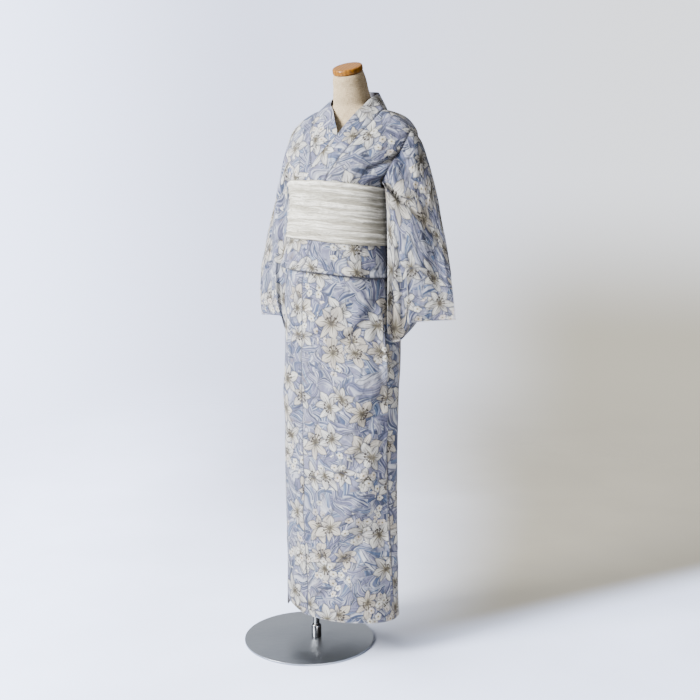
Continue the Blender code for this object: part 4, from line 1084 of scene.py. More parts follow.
def collar(name, offset):
    stations = collar_stations()
    where = np.linspace(0, len(stations) - 1, 260)
    flat = stations.reshape(len(stations), -1)
    grid = np.stack([smooth_rows(flat[:, n], where) for n in range(flat.shape[1])], -1)
    grid = grid.reshape(len(where), 4, 2, 3)
    share = np.linspace(0, 3, 15)
    grid = np.stack([smooth_rows(row.reshape(4, 6), share) for row in grid])
    grid = grid.reshape(len(where), len(share), 2, 3)
    face, back = grid[:, :, 0], grid[:, :, 1]
    normal = unit(face - back)
    middle = (face + back) / 2
    across = share / 3
    rims = np.exp(-((across / 0.03) ** 2)) + np.exp(-(((1 - across) / 0.03) ** 2))
    fat = 0.00115 * (1 - 0.55 * rims)
    along = np.linspace(0, 1, len(where))[:, None]
    ripple = 0.0004 * wander(along * 40 + across * 3, 2.2, 1.6) * np.sin(math.pi * across)
    face = middle + normal * (fat + ripple)[..., None]
    back = middle + normal * (-fat + ripple)[..., None]
    uv = cloth_uv(middle, 0, offset)
    width = uv[..., 0] - uv[:, :1, 0]
    labels = {"hem": np.abs(width) + 0.02, "seam": np.abs(width)}
    return shell(name, face, back, uv, labels, flip=True)


print("collar stations:", len(collar_stations()))


# %% [markdown]
# ## Sleeves
#
# Each sleeve is a bag folded along its top, sewn at the armhole and along its bottom, and open
# beside the body below the armhole.  Its cuff is open above and sewn below.

# %% Sleeves
def lengths(points):
    run = np.concatenate([[0], np.cumsum(np.linalg.norm(np.diff(points, axis=0), axis=-1))])
    return run / run[-1]


def path_at(points, shares, where):
    return smooth_rows(points, np.interp(where, shares, np.arange(len(shares))))


SLEEVE_CREASES = {
    # (side, direction): (share_1, down_1, share_2, down_2, depth, width before, width after)
    (1, -1): [
        (0.30, 0.05, 0.50, 0.95, 0.0050, 0.15, 0.20), (0.66, 0.10, 0.78, 0.80, -0.0030, 0.12, 0.12),
        (0.17, 0.44, 0.21, 0.98, -0.0040, 0.030, 0.05),
        (0.90, 0.20, 0.94, 0.90, 0.0024, 0.05, 0.05),
    ],
    (1, 1): [
        (0.12, 0.12, 0.45, 0.85, 0.0060, 0.08, 0.12), (0.40, 0.10, 0.72, 0.85, -0.0050, 0.09, 0.07),
        (0.66, 0.10, 0.88, 0.90, 0.0040, 0.07, 0.09), (0.20, 0.45, 0.24, 0.98, -0.0045, 0.05, 0.06),
    ],
    (-1, -1): [
        (0.16, 0.10, 0.34, 0.92, 0.0055, 0.07, 0.11), (0.40, 0.10, 0.60, 0.92, -0.0045, 0.08, 0.08),
        (0.66, 0.20, 0.80, 0.95, 0.0036, 0.07, 0.08), (0.05, 0.30, 0.20, 0.60, -0.0026, 0.05, 0.04),
    ],
    (-1, 1): [
        (0.12, 0.12, 0.42, 0.90, 0.0055, 0.08, 0.12), (0.40, 0.10, 0.70, 0.85, -0.0050, 0.09, 0.07),
        (0.66, 0.12, 0.86, 0.92, 0.0036, 0.07, 0.09), (0.18, 0.45, 0.22, 0.98, -0.0040, 0.05, 0.06),
    ],
}


def sleeve_sheet(side, direction, tip, inner, fold, bottom, bottom_shares, down, share):
    """One side of the bag; rows follow down, columns follow share."""
    inner_path = np.concatenate([[tip], inner, bottom[:1]])
    down, share = down[:, None], share[None, :]
    left = path_at(inner_path, lengths(inner_path), down)
    cuff_top, corner = fold[-1], bottom[-1]
    straight = cuff_top + (corner - cuff_top) * down[..., None]
    right = straight.copy()
    right[..., 0] += side * CUFF_BOW[side] * 4 * down * (1 - down)
    mouth = CUFF_MOUTH[side] * np.sin(math.pi * down) ** 0.5
    mouth = mouth * (1 - 0.9 * smooth_step(0.46, 0.56, down))
    right[..., 1] += direction * mouth
    above = path_at(fold, lengths(fold), share)
    below = path_at(bottom, bottom_shares, share)
    place = above + (below - above) * down[..., None]
    start = tip + (bottom[0] - tip) * down[..., None]
    place = place + (left - start) * ((1 - share) ** 2)[..., None]
    place = place + (right - straight) * share[..., None]
    swell = SLEEVE_BULGE[side, direction] * np.sin(math.pi * share**0.75)
    swell = swell * np.sin(math.pi * down) ** 0.6 * (1 - 0.4 * smooth_step(0.45, 0.9, down))
    keep = smooth_step(0, 0.07, share) * smooth_step(0, 0.05, 1 - share)
    keep = keep * smooth_step(0, 0.06, down) * smooth_step(0, 0.05, 1 - down)
    for share_1, down_1, share_2, down_2, depth, before, after in SLEEVE_CREASES[side, direction]:
        mix = (down - down_1) / (down_2 - down_1)
        off = share - (share_1 + (share_2 - share_1) * mix)
        strength = smooth_step(-0.15, 0.25, mix) * (1 - smooth_step(0.75, 1.1, mix))
        flank = np.where(off > 0, after, before)
        swell = swell + depth * keep * strength * np.exp(-((off / flank) ** 2))
    rumple = wander(share * 14 + down * 5, 2.7 + side, 1.3)
    rumple = rumple * wander(down * 15 - share * 4, 5.3 * direction, 1.1)
    swell = swell + RUMPLE * keep * rumple
    push = unit(np.array([side * 0.25, direction, 0.0]))
    place = place + push * swell[..., None]
    if direction < 0:
        line = 0.16 + (0.31 - 0.16) * down
        inside = 1 - smooth_step(0, 1, (share - line + 0.02) / 0.05)
        inside = inside * smooth_step(0.0, 0.06, share)
        place[..., 1] += 0.012 * inside * smooth_step(0.55, 0.8, down)
    return place


def sleeve(side, name, offset, columns=66):
    levels = np.arange(18.75, 10.9, -0.25)

    def armhole(table, back):
        gap = np.where(levels < 11.5, 0.0010, SEAM_GAP / 2)
        turn = turn_at(side * (read(table, levels, 2) + gap), levels, back)
        return cloth_place(side, turn, levels, WALL)

    tip_turn = turn_at(side * (0.1750 + SEAM_GAP / 2), float(RIDGE_LEVEL))
    tip = cloth_place(side, tip_turn, float(RIDGE_LEVEL), WALL)
    mirror = np.array([side, 1, 1])
    fold = np.concatenate([[tip], np.array(SLEEVE_TOP_FOLD[side]) * mirror])
    furi = np.array(FURI_ROWS[side])
    front = np.concatenate([armhole(FRONT_YOKE, False), furi[:, [1, 2, 0]] * mirror])
    rear = np.concatenate([armhole(BACK_YOKE, True), furi[:, [3, 4, 0]] * mirror])
    bottom = np.array(SLEEVE_BOTTOM[side])
    bottom_shares, bottom = bottom[:, 0], bottom[:, 1:] * mirror
    share = np.linspace(0, 1, columns)
    down = np.linspace(0, 1, 112)[1:-1]
    args = (fold, bottom, bottom_shares, down, share)
    front_sheet = sleeve_sheet(side, -1, tip, front, *args)
    rear_sheet = sleeve_sheet(side, 1, tip, rear, *args)
    top_line = path_at(fold, lengths(fold), share)[None]
    seam_line = path_at(bottom, bottom_shares, share)[None]
    face = np.concatenate([seam_line, front_sheet[::-1], top_line, rear_sheet])
    normal = grid_normals(face) * side
    back = face - normal * CLOTH
    back[0] = face[0] + np.array([0, 0, 2 * CLOTH])
    closed = np.concatenate([face, face[:1]])
    uv = cloth_uv(closed, 0, offset)[:-1]
    width = np.abs(uv[..., 0] - uv[:, :1, 0])
    hem = width.max(1, keepdims=True) - width
    below_armhole = np.linspace(0, 1, len(face))
    loose = (np.abs(below_armhole - 0.5) > 0.24)[:, None]
    hem = np.where(loose, np.minimum(hem, width), hem)
    labels = {"hem": hem, "seam": np.where(loose, 1.0, width)}
    return shell(name, face, back, uv, labels, cyclic=True, flip=side < 0)


print("creases on each sleeve face:", [len(rows) for rows in SLEEVE_CREASES.values()])


# %% [markdown]
# ## Sash
#
# A soft crinkled sash winds a little more than once round the waist.  Its gathers are uneven
# ridges that wander, meet and part, and its upper edge is a thicker roll.

# %% Sash
SASH_CRINKLES = 26
SASH_START, SASH_WOUND = 168, 388     # degrees; its end laps over its start


def obi_relief(turn, share):
    """Height of the sash's crinkles above its inner layer."""
    total = np.zeros(np.broadcast(turn, share).shape)
    angle = np.radians(turn)
    for middle, sway, turns, phase, height in OBI_GATHERS:
        centre = middle + sway * np.sin(angle * turns + phase)
        strength = 0.72 + 0.28 * np.sin(angle * (turns + 1) + phase * 2)
        total += 0.62 * height * strength * np.exp(-(((share - centre) / 0.04) ** 2))
    for number in range(SASH_CRINKLES):
        centre = (number + 0.5) / SASH_CRINKLES + 0.034 * wander(angle, number * 0.83, 1.5)
        strength = np.clip(0.45 + 0.75 * wander(angle, number * 1.37 + 9, 2.6), 0, 1)
        off = share - centre
        flank = np.where(off > 0, 0.0075, 0.020)
        total += 0.0021 * strength * np.exp(-((off / flank) ** 2))
    edge = np.exp(-((share / 0.018) ** 2)) + np.exp(-(((1 - share) / 0.018) ** 2))
    roll = 0.0018 * np.exp(-(((share - 0.965) / 0.022) ** 2))
    return total + roll - 0.0014 * edge


def obi(name):
    wound = np.linspace(0, SASH_WOUND, 470)[None, :]
    share = np.linspace(0, 1, 104)[:, None]
    turn = SASH_START - wound
    signed = turn_apart(turn, 0)
    z_bottom = read(OBI_EDGES, signed, 1) + 0.0011 * wander(np.radians(turn), 6.1, 4)
    z_top = read(OBI_EDGES, signed, 2) + 0.0013 * wander(np.radians(turn), 3.3, 4)
    height = z_bottom + (z_top - z_bottom) * share
    left = signed >= -66
    wrapped = np.where(left, 420.0, 60.0) - signed
    high, low = 486.0, 240.0
    climb = low + (high - low) * smooth_step(-180, -66, signed)
    wrapped = np.where(left, wrapped, np.maximum(wrapped, climb))
    inside = read(WRAP_PITCH, height) * wrapped / 360 + read(TUCK_LIFT, height)
    inside = inside + COLLAR_THICKNESS + 0.0024 + 0.0050 * smooth_step(318, 352, wound)
    level = level_at(height)
    place = skin_place(turn + 0 * level, level)
    normal = skin_normal(turn + 0 * level, level)
    relief = obi_relief(turn, share)
    face = place + normal * (inside + 0.0022 + relief)[..., None]
    back = place + normal * inside[..., None]
    uv = cloth_uv(place, 0, (0, 0))
    # Painted shade: a mask of the crinkles' low places, darkened in the sash's colour.
    valley = smooth_step(0.0022, 0.0002, relief)
    return shell(name, face, back, uv, {"valley": valley}, flip=True)


print("sash:", len(OBI_GATHERS), "gathers and", SASH_CRINKLES, "crinkles")


# %% [markdown]
# ## Dress form
#
# The form is a padded shell covered with linen, closed underneath, with a slanted neck top that
# carries a wooden cap.  Rings from one table, a disc below and more rings at the neck make one
# closed skin.

# %% Dress form
NECK_RINGS = (
    # share of the way to the neck's top, radius
    (0.25, 0.0425), (0.5, 0.0408), (0.75, 0.0392), (0.96, 0.0379),
    (1, 0.0368), (1, 0.02), (1, 0.001),
)


def dress_form(name, columns=96, cells=6):
    rows = np.array(FORM_ROWS)
    where = np.linspace(0, len(rows) - 1, (len(rows) - 1) * cells + 1)
    z_mid, z_side, half, y_side, y_front, y_back, roundness = (
        smooth_rows(rows[:, n], where)[:, None] for n in range(7)
    )
    turn = np.linspace(-180, 180, columns + 1)[None, :-1]
    x, y, share = ring_place(turn, half, y_side, y_front, y_back, roundness)
    ring = np.stack([x, y, z_mid + (z_side - z_mid) * share**2], -1)
    tight = 1 - 0.006 * (where < 14.5)[:, None, None]
    ring[..., :2] = ring[..., :2] * tight + (1 - tight) * np.array([0, 0.03])
    across = np.sin(np.radians(turn[0]))
    forward = np.cos(np.radians(turn[0]))
    last = ring[-1]
    tops = []
    for mix, radius in NECK_RINGS:
        depth = NECK_TOP_Y - forward * radius * math.cos(NECK_TOP_TILT)
        height = NECK_TOP - forward * radius * math.sin(NECK_TOP_TILT)
        top = np.stack([across * radius, depth, height], -1)
        tops.append(last + (top - last) * mix)
    under = ring[:1] * np.array([0.97, 0.97, 1]) - np.array([0, 0, 0.0004])
    middle = np.array([0, 0.002, FORM_BOTTOM])
    disc = [middle + (under[0] - middle) * r for r in (0.02, 0.5, 0.9)]
    grid = np.concatenate([disc, under, ring, tops])
    grid[:4, :, 2] = FORM_BOTTOM
    count = len(grid)
    number = np.arange(count * columns).reshape(count, columns)
    number = np.concatenate([number, number[:, :1]], 1)
    faces = np.stack([number[:-1, :-1], number[:-1, 1:], number[1:, 1:], number[1:, :-1]], -1)
    faces = faces.reshape(-1, 4)
    caps = [number[0, ::-1][:-1], number[-1, :-1]]
    builder = bmesh.new()
    points = [builder.verts.new(p + TORSO_AT) for p in grid.reshape(-1, 3)]
    for quad in faces:
        builder.faces.new([points[i] for i in quad])
    for cap in caps:
        builder.faces.new([points[i] for i in cap])
    mesh = bpy.data.meshes.new(name)
    bmesh.ops.recalc_face_normals(builder, faces=builder.faces[:])
    builder.to_mesh(mesh)
    builder.free()
    mesh.shade_smooth()
    mesh.set_sharp_from_angle(angle=math.radians(45))
    return mesh


print("form rings:", len(FORM_ROWS), "in the table,", len(NECK_RINGS), "at the neck")


# %% [markdown]
# ## Turned parts
#
# The cap, plate, socket and pole are turned on a lathe, so each is one outline spun round its
# axis.  Small rounded rims catch the light, as filed edges do.

# %% Turned and spun parts
def spun(name, outline, segments=160, matrix=Matrix.Identity(4)):
    """A solid of revolution from (radius, height) points that start and end on the axis."""
    builder = bmesh.new()
    line = [builder.verts.new((max(r, 0.0), 0, z)) for r, z in outline]
    edges = [builder.edges.new(pair) for pair in zip(line, line[1:])]
    bmesh.ops.spin(
        builder, geom=line + edges, cent=(0, 0, 0), axis=(0, 0, 1), angle=2 * math.pi,
        steps=segments, use_merge=True, use_duplicate=False,
    )
    bmesh.ops.remove_doubles(builder, verts=builder.verts[:], dist=1e-6)
    bmesh.ops.recalc_face_normals(builder, faces=builder.faces[:])
    bmesh.ops.transform(builder, matrix=matrix, verts=builder.verts[:])
    mesh = bpy.data.meshes.new(name)
    builder.to_mesh(mesh)
    builder.free()
    mesh.shade_smooth()
    mesh.set_sharp_from_angle(angle=math.radians(35))
    return mesh


def rounded(radius, bottom, top, edge, points=5):
    """Outline of a round block with both rims rounded."""
    outline = [(0, bottom), (radius * 0.5, bottom)]
    for angle in np.linspace(0, 90, points):
        c, s = math.cos(math.radians(angle)), math.sin(math.radians(angle))
        outline.append((radius - edge + edge * s, bottom + edge - edge * c))
    for angle in np.linspace(0, 90, points):
        c, s = math.cos(math.radians(angle)), math.sin(math.radians(angle))
        outline.append((radius - edge + edge * c, top - edge + edge * s))
    return outline + [(radius * 0.5, top), (0, top)]


print("points of a rounded outline:", len(rounded(BASE_RADIUS, 0, BASE_THICKNESS, 0.0012)))


# %% [markdown]
# ## Motifs of the print
#
# The cotton is printed, so its flowers are drawn in the material.  Each motif finds the nearest
# cell of a random layout, turns the place into that cell's own axes, and works out how deep
# inside a petal or a stroke it lies.  The colours are the print's inks.

# %% Motifs of the print
PETAL = (0.400, 0.406, 0.392)
PETAL_SHADE = (0.135, 0.135, 0.158)
PETAL_WARM = (0.275, 0.24, 0.19)
VEIN = (0.045, 0.038, 0.024)
OUTLINE = (0.030, 0.028, 0.026)
THROAT = (0.125, 0.108, 0.048)
STAMEN = (0.024, 0.019, 0.010)
ANTHER = (0.014, 0.010, 0.007)
BLUSH = (0.33, 0.275, 0.255)
OCHRE = (0.16, 0.11, 0.040)
SKY = (0.056, 0.090, 0.166)
CORNFLOWER = (0.030, 0.048, 0.100)
SLATE = (0.017, 0.023, 0.046)
LAVENDER = (0.092, 0.096, 0.160)
HAZE = (0.134, 0.143, 0.206)
PALE = (0.30, 0.318, 0.362)
WARM_GREY = (0.128, 0.112, 0.104)
WHOLE_TURN, TWO_TURNS = 6.2832, 12.566
PETAL_ARC, HALF_PETAL, PETALS_A_RADIAN = 1.0472, 0.5236, 0.95493     # six petals


def flower_frame(r, place, scale, randomness):
    """Place inside the nearest flower, with three random numbers for that flower."""
    cell = r.cells(place, scale, randomness)
    chance = r.split(cell["Color"])
    away = r.split(r.vector("SUBTRACT", place, cell["Position"]))
    spin = r.mul(chance[0], WHOLE_TURN)
    c, s = r.math("COSINE", spin), r.math("SINE", spin)
    x = r.sub(r.mul(away[0], c), r.mul(away[1], s))
    y = r.add(r.mul(away[0], s), r.mul(away[1], c))
    y = r.mul(y, r.add(1.0, r.mul(chance[1], 0.36)))
    return x, y, chance


def lilies(r, place, scale, size, ground, rough_line):
    """Six-petalled lilies seen from many sides, drawn over the ground."""
    x, y, chance = flower_frame(r, place, scale, 0.60)
    reach = r.reach(x, y)
    bare = r.math("ARCTAN2", y, x)
    turn = r.add(bare, r.mul(chance[2], WHOLE_TURN), TWO_TURNS)
    turn = r.add(turn, r.mul(reach, r.sub(chance[1], 0.5), 14.0))
    number = r.math("FLOOR", r.mul(turn, PETALS_A_RADIAN))
    local = r.sub(r.math("MODULO", turn, PETAL_ARC), HALF_PETAL)
    odd = r.math("MODULO", number, 2.0)
    uneven = r.math("SINE", r.add(r.mul(number, 2.4), r.mul(chance[2], 9.0)))
    facing = r.math("COSINE", bare)
    length = r.add(0.92, r.mul(0.13, uneven), r.mul(facing, r.mul(chance[1], 0.26)))
    length = r.mul(length, size, r.add(0.88, r.mul(chance[0], 0.26)))
    along = r.mul(reach, r.math("COSINE", local))
    signed = r.mul(reach, r.math("SINE", local))
    beside = r.math("ABSOLUTE", signed)
    share = r.math("DIVIDE", along, length)
    bounded = r.math("MINIMUM", r.math("MAXIMUM", share, 0.0), 1.0)
    belly = r.math("SINE", r.mul(r.math("POWER", bounded, 0.90), math.pi))
    width = r.mul(r.math("POWER", r.math("MAXIMUM", belly, 0.0001), 0.72), length)
    width = r.mul(width, r.add(0.325, r.mul(odd, -0.085)))
    depth = r.add(r.sub(width, beside), r.mul(r.sub(rough_line, 0.5), 0.0085))
    petal = r.ramp(depth, 0.0, 0.0006)
    shade = r.add(
        r.mul(r.ramp(depth, 0.0085, 0.0010), 0.30), r.mul(r.ramp(signed, -0.0005, 0.004), 0.26),
        r.mul(odd, 0.16), r.mul(r.ramp(share, 0.55, 0.05), 0.22),
    )
    colour = r.mix(shade, PETAL, PETAL_SHADE)
    colour = r.mix(r.mul(r.ramp(chance[2], 0.50, 0.90), 0.60), colour, PETAL_WARM)
    furrow = r.math("SINE", r.mul(r.sub(along, r.mul(beside, 2.2)), 760.0))
    furrow = r.mul(r.ramp(furrow, 0.30, 1.0), r.ramp(share, 1.0, 0.35), 0.50)
    colour = r.mix(furrow, colour, PETAL_SHADE)
    throat = r.mul(r.ramp(share, 0.50, 0.06), r.ramp(beside, 0.0064, 0.0010), 0.85)
    colour = r.mix(throat, colour, THROAT)
    thick = r.mul(r.sub(1.0, bounded), 0.0016)
    rib = r.mul(r.ramp(r.sub(beside, thick), 0.0007, 0.0), r.ramp(share, 0.92, 0.45), 0.85)
    colour = r.mix(rib, colour, VEIN)
    vein = r.math("ABSOLUTE", r.sub(beside, r.mul(width, 0.46)))
    vein = r.mul(r.ramp(vein, 0.0009, 0.0002), r.ramp(share, 0.90, 0.40), 0.70)
    colour = r.mix(vein, colour, VEIN)
    vein = r.math("ABSOLUTE", r.sub(beside, r.mul(width, 0.75)))
    vein = r.mul(r.ramp(vein, 0.0007, 0.0001), r.ramp(share, 0.80, 0.45), 0.50)
    colour = r.mix(vein, colour, VEIN)
    cleft = r.mul(reach, r.math("SINE", r.sub(HALF_PETAL, r.math("ABSOLUTE", local))))
    colour = r.mix(r.mul(r.ramp(cleft, 0.0009, 0.0003), 0.75), colour, OUTLINE)
    rim = r.mul(r.ramp(depth, 0.0030, 0.0013), r.ramp(rough_line, 0.28, 0.50), 0.92)
    colour = r.mix(rim, colour, OUTLINE)
    ground = r.mix(r.mul(r.ramp(depth, -0.0050, -0.0002), 0.50), ground, SLATE)
    ground = r.mix(petal, ground, colour)
    lean = r.sub(x, r.mul(length, 0.10))
    fan = r.math("ARCTAN2", y, lean)
    far = r.reach(lean, y)
    spoke = r.sub(r.math("MODULO", r.add(fan, TWO_TURNS), 0.66), 0.33)
    off = r.math("ABSOLUTE", r.mul(far, r.math("SINE", spoke)))
    thread = r.mul(r.ramp(off, 0.0014, 0.0007), r.ramp(far, 0.0150, 0.0135))
    tip = r.math("ABSOLUTE", r.sub(far, r.add(0.0145, r.mul(uneven, 0.0022))))
    tip = r.mul(r.ramp(off, 0.0044, 0.0028), r.ramp(tip, 0.0030, 0.0018))
    side = r.ramp(r.math("COSINE", fan), -0.35, 0.05)
    ground = r.mix(r.mul(r.ramp(reach, 0.0060, 0.0020), petal, 0.80), ground, STAMEN)
    ground = r.mix(r.mul(thread, side, 0.90), ground, STAMEN)
    return r.mix(r.mul(tip, side, 0.95), ground, ANTHER)


def blossoms(r, place, scale, ground, where):
    """Small five-petalled blossoms with ochre centres, drawn where the factor allows."""
    x, y, chance = flower_frame(r, place, scale, 0.70)
    reach = r.reach(x, y)
    turn = r.add(r.math("ARCTAN2", y, x), r.mul(chance[2], WHOLE_TURN), TWO_TURNS)
    lobe = r.math("ABSOLUTE", r.math("COSINE", r.mul(turn, 2.5)))
    edge = r.add(0.70, r.mul(r.math("POWER", lobe, 0.5), 0.30))
    edge = r.mul(edge, r.add(0.0096, r.mul(chance[1], 0.0026)))
    depth = r.sub(edge, reach)
    there = r.mul(r.ramp(depth, 0.0, 0.0006), where)
    colour = r.mix(r.mul(r.ramp(chance[0], 0.4, 0.8), 0.5), PETAL, BLUSH)
    crease = r.mul(r.ramp(lobe, 0.42, 0.05), r.ramp(reach, 0.0025, 0.0065), 0.70)
    colour = r.mix(crease, colour, PETAL_SHADE)
    colour = r.mix(r.mul(r.ramp(depth, 0.0016, 0.0004), 0.60), colour, OUTLINE)
    colour = r.mix(r.mul(r.ramp(reach, 0.0044, 0.0026), 0.55), colour, OCHRE)
    colour = r.mix(r.ramp(reach, 0.0026, 0.0016), colour, THROAT)
    colour = r.mix(r.mul(r.ramp(reach, 0.0013, 0.0006), 0.8), colour, STAMEN)
    ground = r.mix(r.mul(r.ramp(depth, -0.0030, -0.0002), where, 0.35), ground, SLATE)
    return r.mix(there, ground, colour)


def strokes(r, place, scale, ground, light, dark):
    """Long pointed brush strokes that cross each other, streaked by the brush's bristles."""
    x, y, chance = flower_frame(r, place, scale, 1.0)
    bend = r.mul(r.mul(x, x), r.mul(r.sub(chance[2], 0.5), 26.0))
    across = r.add(y, bend)
    share = r.math("MINIMUM", r.math("ABSOLUTE", r.mul(x, 16.0)), 1.0)
    width = r.sub(1.0, r.math("POWER", share, 1.4))
    width = r.mul(width, r.add(0.0085, r.mul(chance[1], 0.0075)))
    depth = r.sub(width, r.math("ABSOLUTE", across))
    there = r.ramp(depth, 0.0, 0.0010)
    tone = r.mix(r.ramp(chance[0], 0.2, 0.8), light, dark)
    tone = r.mix(r.mul(r.ramp(across, -0.0040, 0.0040), 0.60), tone, LAVENDER)
    bristle = r.join(r.add(r.mul(x, 9.0), r.mul(chance[0], 40.0)), r.mul(across, 190.0))
    bristle = r.noise(bristle, 1.0, 1.0)["Fac"]
    tone = r.mix(r.ramp(bristle, 0.50, 0.66, 0.0, 0.75), tone, PALE)
    tone = r.mix(r.ramp(bristle, 0.49, 0.36, 0.0, 0.85), tone, SLATE)
    pale_edge = r.mul(r.ramp(depth, 0.0020, 0.0006), r.ramp(chance[2], 0.4, 0.6), 0.75)
    tone = r.mix(pale_edge, tone, PALE)
    dark_edge = r.mul(r.ramp(depth, 0.0016, 0.0002), r.ramp(chance[2], 0.6, 0.4), 0.80)
    tone = r.mix(dark_edge, tone, SLATE)
    return r.mix(there, ground, tone)


print("motifs:", [motif.__name__ for motif in (lilies, blossoms, strokes)])


# %% [markdown]
# ## Printed cotton
#
# From back to front: a misty ground, five layers of crossing strokes, then lilies and small
# blossoms.  The cloth's own marks follow: fibre, stitches and a paler inside, with painted shade
# along the seams and under the tuck's folded edge.
# Weave, slubs and soft dents are relief.

# %% Printed cotton
def printed_cotton():
    r = Recipe("printed_cotton")
    cloth = r.uv()

    def drifted(scale, amount):
        drift = r.vector("SUBTRACT", r.noise(cloth, scale, 1.0)["Color"], (0.5, 0.5, 0.5))
        return r.vector("ADD", cloth, r.vector("MULTIPLY", drift, (amount, amount, 0.0)))

    place = drifted(26.0, 0.012)
    flow = drifted(11.0, 0.085)
    rough_line = r.noise(cloth, 150.0, 2.0)["Fac"]
    mist = r.noise(flow, 17.0, 3.0, 0.6)["Fac"]
    colour = r.mix(r.ramp(mist, 0.36, 0.60), LAVENDER, HAZE)
    colour = r.mix(r.ramp(mist, 0.52, 0.63, 0.0, 0.85), colour, PALE)
    colour = r.mix(r.ramp(mist, 0.44, 0.34, 0.0, 0.60), colour, WARM_GREY)
    layers = (
        (19.0, (0.00, 0.00, 0), SKY, CORNFLOWER), (15.0, (0.37, 0.71, 0), LAVENDER, SKY),
        (22.0, (1.31, 0.17, 0), SKY, SLATE), (17.0, (2.11, 1.57, 0), PALE, LAVENDER),
        (20.0, (3.71, 0.57, 0), LAVENDER, CORNFLOWER),
    )
    for scale, shift, light, dark in layers:
        colour = strokes(r, r.vector("ADD", flow, shift), scale, colour, light, dark)
    groups = r.ramp(r.split(r.cells(place, 13.0, 1.0)["Color"])[1], 0.84, 0.88)
    colour = lilies(r, r.vector("ADD", place, (0.053, 0.581, 0)), 8.6, 0.044, colour, rough_line)
    colour = blossoms(r, r.vector("ADD", place, (0.9, 0.3, 0)), 34.0, colour, groups)
    colour = lilies(r, place, 9.0, 0.046, colour, rough_line)
    groups = r.ramp(r.split(r.cells(place, 15.0, 1.0)["Color"])[2], 0.90, 0.93)
    colour = blossoms(r, r.vector("ADD", place, (2.9, 1.3, 0)), 36.0, colour, groups)
    # Warm grey patches, at random.
    patch = r.noise(place, 9.0, 2.0)["Fac"]
    colour = r.mix(r.ramp(patch, 0.55, 0.70, 0.0, 0.16), colour, WARM_GREY)
    fibre = r.noise(r.vector("MULTIPLY", cloth, (1.0, 9.0, 1.0)), 420.0, 2.0)["Fac"]
    colour = r.mix(r.ramp(fibre, 0.25, 0.75, 0.0, 0.10), colour, HAZE)
    inside = r.attribute("inside")
    colour = r.mix(r.mul(inside, 0.55), colour, (0.28, 0.28, 0.32))
    hem = r.attribute("hem")
    u, v, _ = r.split(cloth)
    ridge = r.ramp(r.math("ABSOLUTE", r.sub(hem, 0.0105)), 0.0016, 0.0003)
    stitch = r.math("SINE", r.mul(r.add(u, v), 900.0))
    colour = r.mix(r.mul(ridge, r.ramp(stitch, 0.75, 0.95), 0.35), colour, (0.30, 0.31, 0.36))
    colour = r.mix(r.mul(r.ramp(hem, 0.0035, 0.0), 0.16), colour, PALE)
    seam = r.attribute("seam")
    # Painted shade: a dark line along every seam and under the tuck's folded edge.
    painted_seam_shade = r.ramp(seam, 0.0028, 0.0002)
    colour = r.mix(r.mul(painted_seam_shade, 0.80), colour, (0.030, 0.032, 0.045))
    weave = r.mul(r.add(r.math("SINE", r.mul(u, 9000.0)), r.math("SINE", r.mul(v, 9000.0))), 0.25)
    slub = r.add(r.noise(r.vector("MULTIPLY", cloth, (1.0, 14.0, 1.0)), 260.0, 2.0)["Fac"], weave)
    soft = r.noise(cloth, 48.0, 3.0, 0.55)["Fac"]
    dents = r.noise(r.vector("MULTIPLY", place, (1.0, 0.75, 1.0)), 17.0, 3.0, 0.5)["Fac"]
    normal = r.relief(dents, 0.0170)
    normal = r.relief(soft, 0.0026, 1.0, normal)
    sewn = r.add(ridge, r.mul(r.ramp(seam, 0.006, 0.0), 3.0))
    normal = r.relief(r.mul(sewn, -1.0), 0.0005, 1.0, normal)
    normal = r.relief(slub, 0.00010, 0.8, normal)
    return r.finish(
        Base_Color=colour, Roughness=r.ramp(fibre, 0.2, 0.8, 0.80, 0.92), Normal=normal,
        Sheen_Weight=0.08, Sheen_Roughness=0.5, Specular_IOR_Level=0.25,
    )


cotton = printed_cotton()
print("cotton:", len(cotton.node_tree.nodes), "nodes")


# %% [markdown]
# ## Crinkled sash cotton
#
# The sash is soft off-white cotton that dries in crinkles.  The large gathers are in its mesh,
# and the fine ones are noise stretched along the band, with painted shade in the valleys of both.

# %% Crinkled sash cotton
def sash_cotton():
    r = Recipe("sash_cotton")
    cloth = r.uv()
    u, v, _ = r.split(cloth)
    crinkle = r.noise(r.vector("MULTIPLY", cloth, (0.24, 3.0, 1.0)), 125.0, 4.0, 0.62)["Fac"]
    fine = r.noise(r.vector("MULTIPLY", cloth, (0.35, 2.2, 1.0)), 420.0, 3.0, 0.6)["Fac"]
    cloudy = r.noise(cloth, 16.0, 2.0)["Fac"]
    # Painted shade: the colour darkens where the crinkle and fine noises run low, as their relief
    # does, and again in the mesh's valleys.
    colour = r.mix(r.ramp(crinkle, 0.36, 0.53), (0.45, 0.435, 0.375), (0.90, 0.895, 0.85))
    colour = r.mix(r.ramp(cloudy, 0.35, 0.7, 0.0, 0.35), colour, (0.82, 0.81, 0.75))
    colour = r.mix(r.ramp(fine, 0.34, 0.60, 0.44, 0.0), colour, (0.42, 0.40, 0.33))
    colour = r.mix(r.mul(r.attribute("valley"), 0.80), colour, (0.25, 0.235, 0.185))
    weave = r.add(r.math("SINE", r.mul(u, 7800.0)), r.math("SINE", r.mul(v, 7800.0)))
    normal = r.relief(crinkle, 0.0070)
    normal = r.relief(fine, 0.0016, 1.0, normal)
    normal = r.relief(weave, 0.00006, 0.7, normal)
    return r.finish(
        Base_Color=colour, Roughness=r.ramp(fine, 0.2, 0.8, 0.82, 0.95), Normal=normal,
        Sheen_Weight=0.12, Sheen_Roughness=0.5, Specular_IOR_Level=0.25,
    )


sash = sash_cotton()
print("sash:", len(sash.node_tree.nodes), "nodes")


